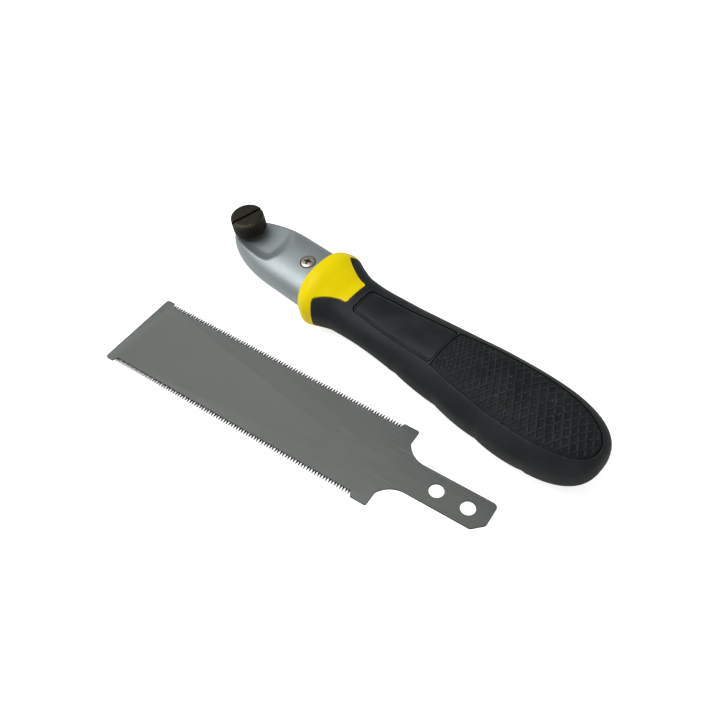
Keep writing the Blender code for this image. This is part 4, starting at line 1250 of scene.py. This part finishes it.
def build_core():
    """The yellow moulding: collar, lobes above and below, and the shaft inside the grip."""
    core = lofted("collar_core", outer_rings(step=0.8 * MM, last=LOBE_END + 2 * CUT))
    plan = extruded("yellow_plan", yellow_outline(), -FAR_OUT, FAR_OUT)
    shaft = lofted("core_shaft", core_rings())
    socket = []
    for x in spaced(COLLAR_FRONT - CUT, HEAD_END + GAP, 1.1 * MM):
        half, height = head_section(x) + GAP, head_height_at(x) + GAP
        socket.append(ring(x, half, half, height, height, HEAD_CENTRE, 120))
    cavity = block(
        "cavity", HEAD_END - CUT, CASTING_TANG_END + GAP, CASTING_TANG_HALF_WIDTH + GAP,
        -CASTING_TANG_HALF_HEIGHT - GAP, CASTING_TANG_HALF_HEIGHT + GAP,
    )
    pin_hole = TANG_PIN_RADIUS + GAP
    holes = [turned("hole", [(pin_hole, -FAR_OUT), (pin_hole, FAR_OUT)], 24, x) for x in TANG_PIN_PLACES]
    carved(
        core, ("INTERSECT", plan), ("UNION", shaft), ("DIFFERENCE", lofted("socket", socket)),
        ("DIFFERENCE", cavity), ("DIFFERENCE", joined("holes", holes)),
    )
    finished(core, "handle_core", "handle", [yellow_plastic()])


def label_half_width(x, clearance=0.0):
    """Half-width of the label plate, with its corners rounded in plan."""
    half = label_width_at(x) + clearance
    for start, direction, corner in (
        (LABEL_FRONT - clearance, 1, LABEL_CORNER), (LABEL_REAR + clearance, -1, LABEL_REAR_CORNER),
    ):
        inside = corner - direction * (x - start)
        if inside > 0:
            half -= corner - math.sqrt(max(corner * corner - inside * inside, 0.0))
    return half


def pad_half_width(x, clearance=0.0):
    """Half-width of a textured pad: square at the front, round at the butt."""
    end = PAD_REAR + clearance
    return (pad_width_at(x) + clearance) * rounded_off(x, PAD_ROUND_START, end, PAD_ROUND_POWER)


def label_stations(clearance=0.0, step=0.16 * MM):
    front, rear = LABEL_FRONT - clearance, LABEL_REAR + clearance
    first = [front + LABEL_CORNER * (1 - math.cos(math.radians(90 * i / 14))) for i in range(15)]
    last = [rear - LABEL_REAR_CORNER * (1 - math.cos(math.radians(90 * i / 7))) for i in range(7, -1, -1)]
    return first + spaced(front + LABEL_CORNER, rear - LABEL_REAR_CORNER, step)[1:-1] + last


def pad_stations(clearance=0.0, step=0.2 * MM):
    front, rear = PAD_FRONT - clearance, PAD_REAR + clearance
    tip_start = rear - PAD_TIP
    tip = crowded_to_end(tip_start, rear - 0.01 * MM, round(1.6 * PAD_TIP / step))
    return spaced(front, tip_start, step) + tip


def panel_outline(stations, half_width, clearance):
    half = [(x, half_width(x, clearance)) for x in stations]
    return closed_plan(half, half)


def surface_heights(x, across, inward, side):
    """Heights of the handle's outer form over points across it, above or below its middle."""
    near, far, top, bottom = handle_section(x, inward)
    share = np.abs(across) / np.where(across >= 0, far, near)
    fall = np.maximum(1 - np.minimum(share, 1.0) ** SECTION_POWER, 0.0) ** (1 / SECTION_POWER)
    return side * (top if side > 0 else bottom) * fall


def panel_solid(name, stations, half_width, side, columns, coarse, relief):
    """A curved plate: a fine outer face with relief, and a plain inner face on fewer points."""
    shares = np.linspace(-1, 1, columns + 1)
    points, faces = [], []
    rows = len(stations)
    for x in stations:
        across = shares * half_width(x)
        heights = surface_heights(x, across, PANEL_SUNK, side) + side * relief(x, across)
        centre = grip_centre_at(x)
        points += [(x, centre + y, z) for y, z in zip(across, heights)]
    wide = columns + 1
    for i in range(rows - 1):
        for j in range(columns):
            faces.append((i * wide + j, i * wide + j + 1, (i + 1) * wide + j + 1, (i + 1) * wide + j))
    row_picks = sorted(set(list(range(0, rows, coarse)) + [rows - 1]))
    column_picks = sorted(set(list(range(0, wide, coarse)) + [columns]))
    under = {}
    for i in row_picks:
        x = stations[i]
        across = shares[column_picks] * half_width(x)
        heights = surface_heights(x, across, PANEL_SUNK + PANEL_THICKNESS, side)
        for j, y, z in zip(column_picks, across, heights):
            under[i, j] = len(points)
            points.append((x, grip_centre_at(x) + y, z))
    for i0, i1 in zip(row_picks, row_picks[1:]):
        for j0, j1 in zip(column_picks, column_picks[1:]):
            faces.append((under[i0, j0], under[i1, j0], under[i1, j1], under[i0, j1]))
        for j, flip in ((0, False), (columns, True)):
            wall = [i * wide + j for i in range(i0, i1 + 1)] + [under[i1, j], under[i0, j]]
            faces.append(tuple(reversed(wall)) if flip else tuple(wall))
    for j0, j1 in zip(column_picks, column_picks[1:]):
        for i, flip in ((0, True), (rows - 1, False)):
            wall = [i * wide + j for j in range(j0, j1 + 1)] + [under[i, j1], under[i, j0]]
            faces.append(tuple(reversed(wall)) if flip else tuple(wall))
    return mesh_object(name, points, faces)


def label_relief(x, across):
    """A groove that runs round the plate a little inside its edge."""
    to_side = label_width_at(x) - np.abs(across)
    to_end = min(x - LABEL_FRONT, LABEL_REAR - x)
    corner = LABEL_CORNER if x - LABEL_FRONT < LABEL_REAR - x else LABEL_REAR_CORNER
    rounded = corner - np.hypot(np.maximum(corner - to_side, 0), max(corner - to_end, 0))
    inside = np.where((to_side < corner) & (to_end < corner), rounded, np.minimum(to_side, to_end))
    groove = -LABEL_GROOVE_DEPTH * np.exp(-(((inside - LABEL_GROOVE_INSET) / LABEL_GROOVE_WIDTH) ** 2))
    return groove - edge_fall(inside)


def edge_fall(inside, radius=0.25 * MM):
    """How far a rounded edge has fallen at a distance inside it."""
    left = np.clip(radius - inside, 0, radius)
    return radius - np.sqrt(radius * radius - left * left)


def rib_phases():
    """Rib count along the pad from its front, for each place, as a running sum of 1 / spacing."""
    places = np.arange(PAD_FRONT - 1 * MM, PAD_REAR + 1 * MM, 0.1 * MM)
    counts = np.cumsum([0.1 * MM / rib_spacing_at(x) for x in places])
    return places, counts


RIB_PLACES, RIB_COUNTS = rib_phases()


def pad_relief(x, across):
    """Criss-cross ribs whose spacing widens towards the butt, inside a plain rim."""
    along = np.interp(x, RIB_PLACES, RIB_COUNTS)
    out = across * PAD_RIB_SLANT / rib_spacing_at(x)
    height = np.zeros_like(across)
    for sign in (1, -1):
        phase = along + sign * out
        off = np.abs(phase - np.round(phase)) / PAD_RIB_SHARE
        height = np.maximum(height, np.clip(1.6 - 1.6 * off, 0, 1))
    half = max(pad_half_width(x), 1e-6)
    inside = np.minimum(half - np.abs(across), min(x - PAD_FRONT, PAD_REAR - x))
    shown = np.clip((inside - PAD_RIM) / (0.5 * PAD_RIM), 0, 1)
    return (PAD_RIB_HEIGHT * height - PAD_SUNK_FLOOR) * shown - edge_fall(inside)


def panel_bed(outline, side):
    """Cutter for a panel's bed in the grip: everything above the bed's floor."""
    low, high = (CUT, FAR_OUT) if side > 0 else (-FAR_OUT, -CUT)
    bed = extruded("bed", outline, low, high)
    floor = lofted("floor", outer_rings(PANEL_SUNK + PANEL_THICKNESS + GAP, 4 * MM, 60, 12))
    return carved(bed, ("DIFFERENCE", floor))


def build_grip():
    grip = lofted("rubber_sleeve", outer_rings())
    plan = extruded("yellow_gap", yellow_outline(GAP), -FAR_OUT, FAR_OUT)
    label = panel_outline(label_stations(GAP, 2 * MM), label_half_width, GAP)
    pad = panel_outline(pad_stations(GAP, 1 * MM), pad_half_width, GAP)
    carved(
        grip, ("DIFFERENCE", plan), ("DIFFERENCE", lofted("shaft_gap", core_rings(GAP))),
        ("DIFFERENCE", panel_bed(label, 1)), ("DIFFERENCE", panel_bed(pad, 1)),
        ("DIFFERENCE", panel_bed(pad, -1)),
    )
    pressed_level(grip)
    finished(grip, "grip_overmould", "handle", [grip_rubber()])


def build_panels():
    plate = panel_solid("bare_label_plate", label_stations(), label_half_width, 1, 120, 20, label_relief)
    finished(plate, "label_plate", "handle", [label_plastic()], crease=math.radians(60))
    rubber = pad_rubber()
    for name, node, side in (
        ("ribbed_pad_top", "texture_pad_top", 1), ("ribbed_pad_bottom", "texture_pad_bottom", -1),
    ):
        pad = panel_solid(name, pad_stations(), pad_half_width, side, 130, 13, pad_relief)
        pressed_level(pad)
        finished(pad, node, "handle", [rubber], crease=math.radians(60))


def finish_hidden_pins():
    """The locating pin and the two tang pins keep their shape and get a steel finish."""
    steel = turned_steel("pin_steel", from_photo(150, 152, 152), from_photo(190, 192, 192), 0.28)
    for name in ("locating_pin", "tang_pin_front", "tang_pin_rear"):
        pin = frame["nodes"][name]
        pin.data.materials.clear()
        pin.data.materials.append(steel)


def build_saw():
    build_blade()
    build_head()
    build_thumb_screw()
    build_thumb_washer()
    build_clamp()
    build_plate_screw()
    build_core()
    build_grip()
    build_panels()
    finish_hidden_pins()


add_camera()
add_studio()
build_saw()
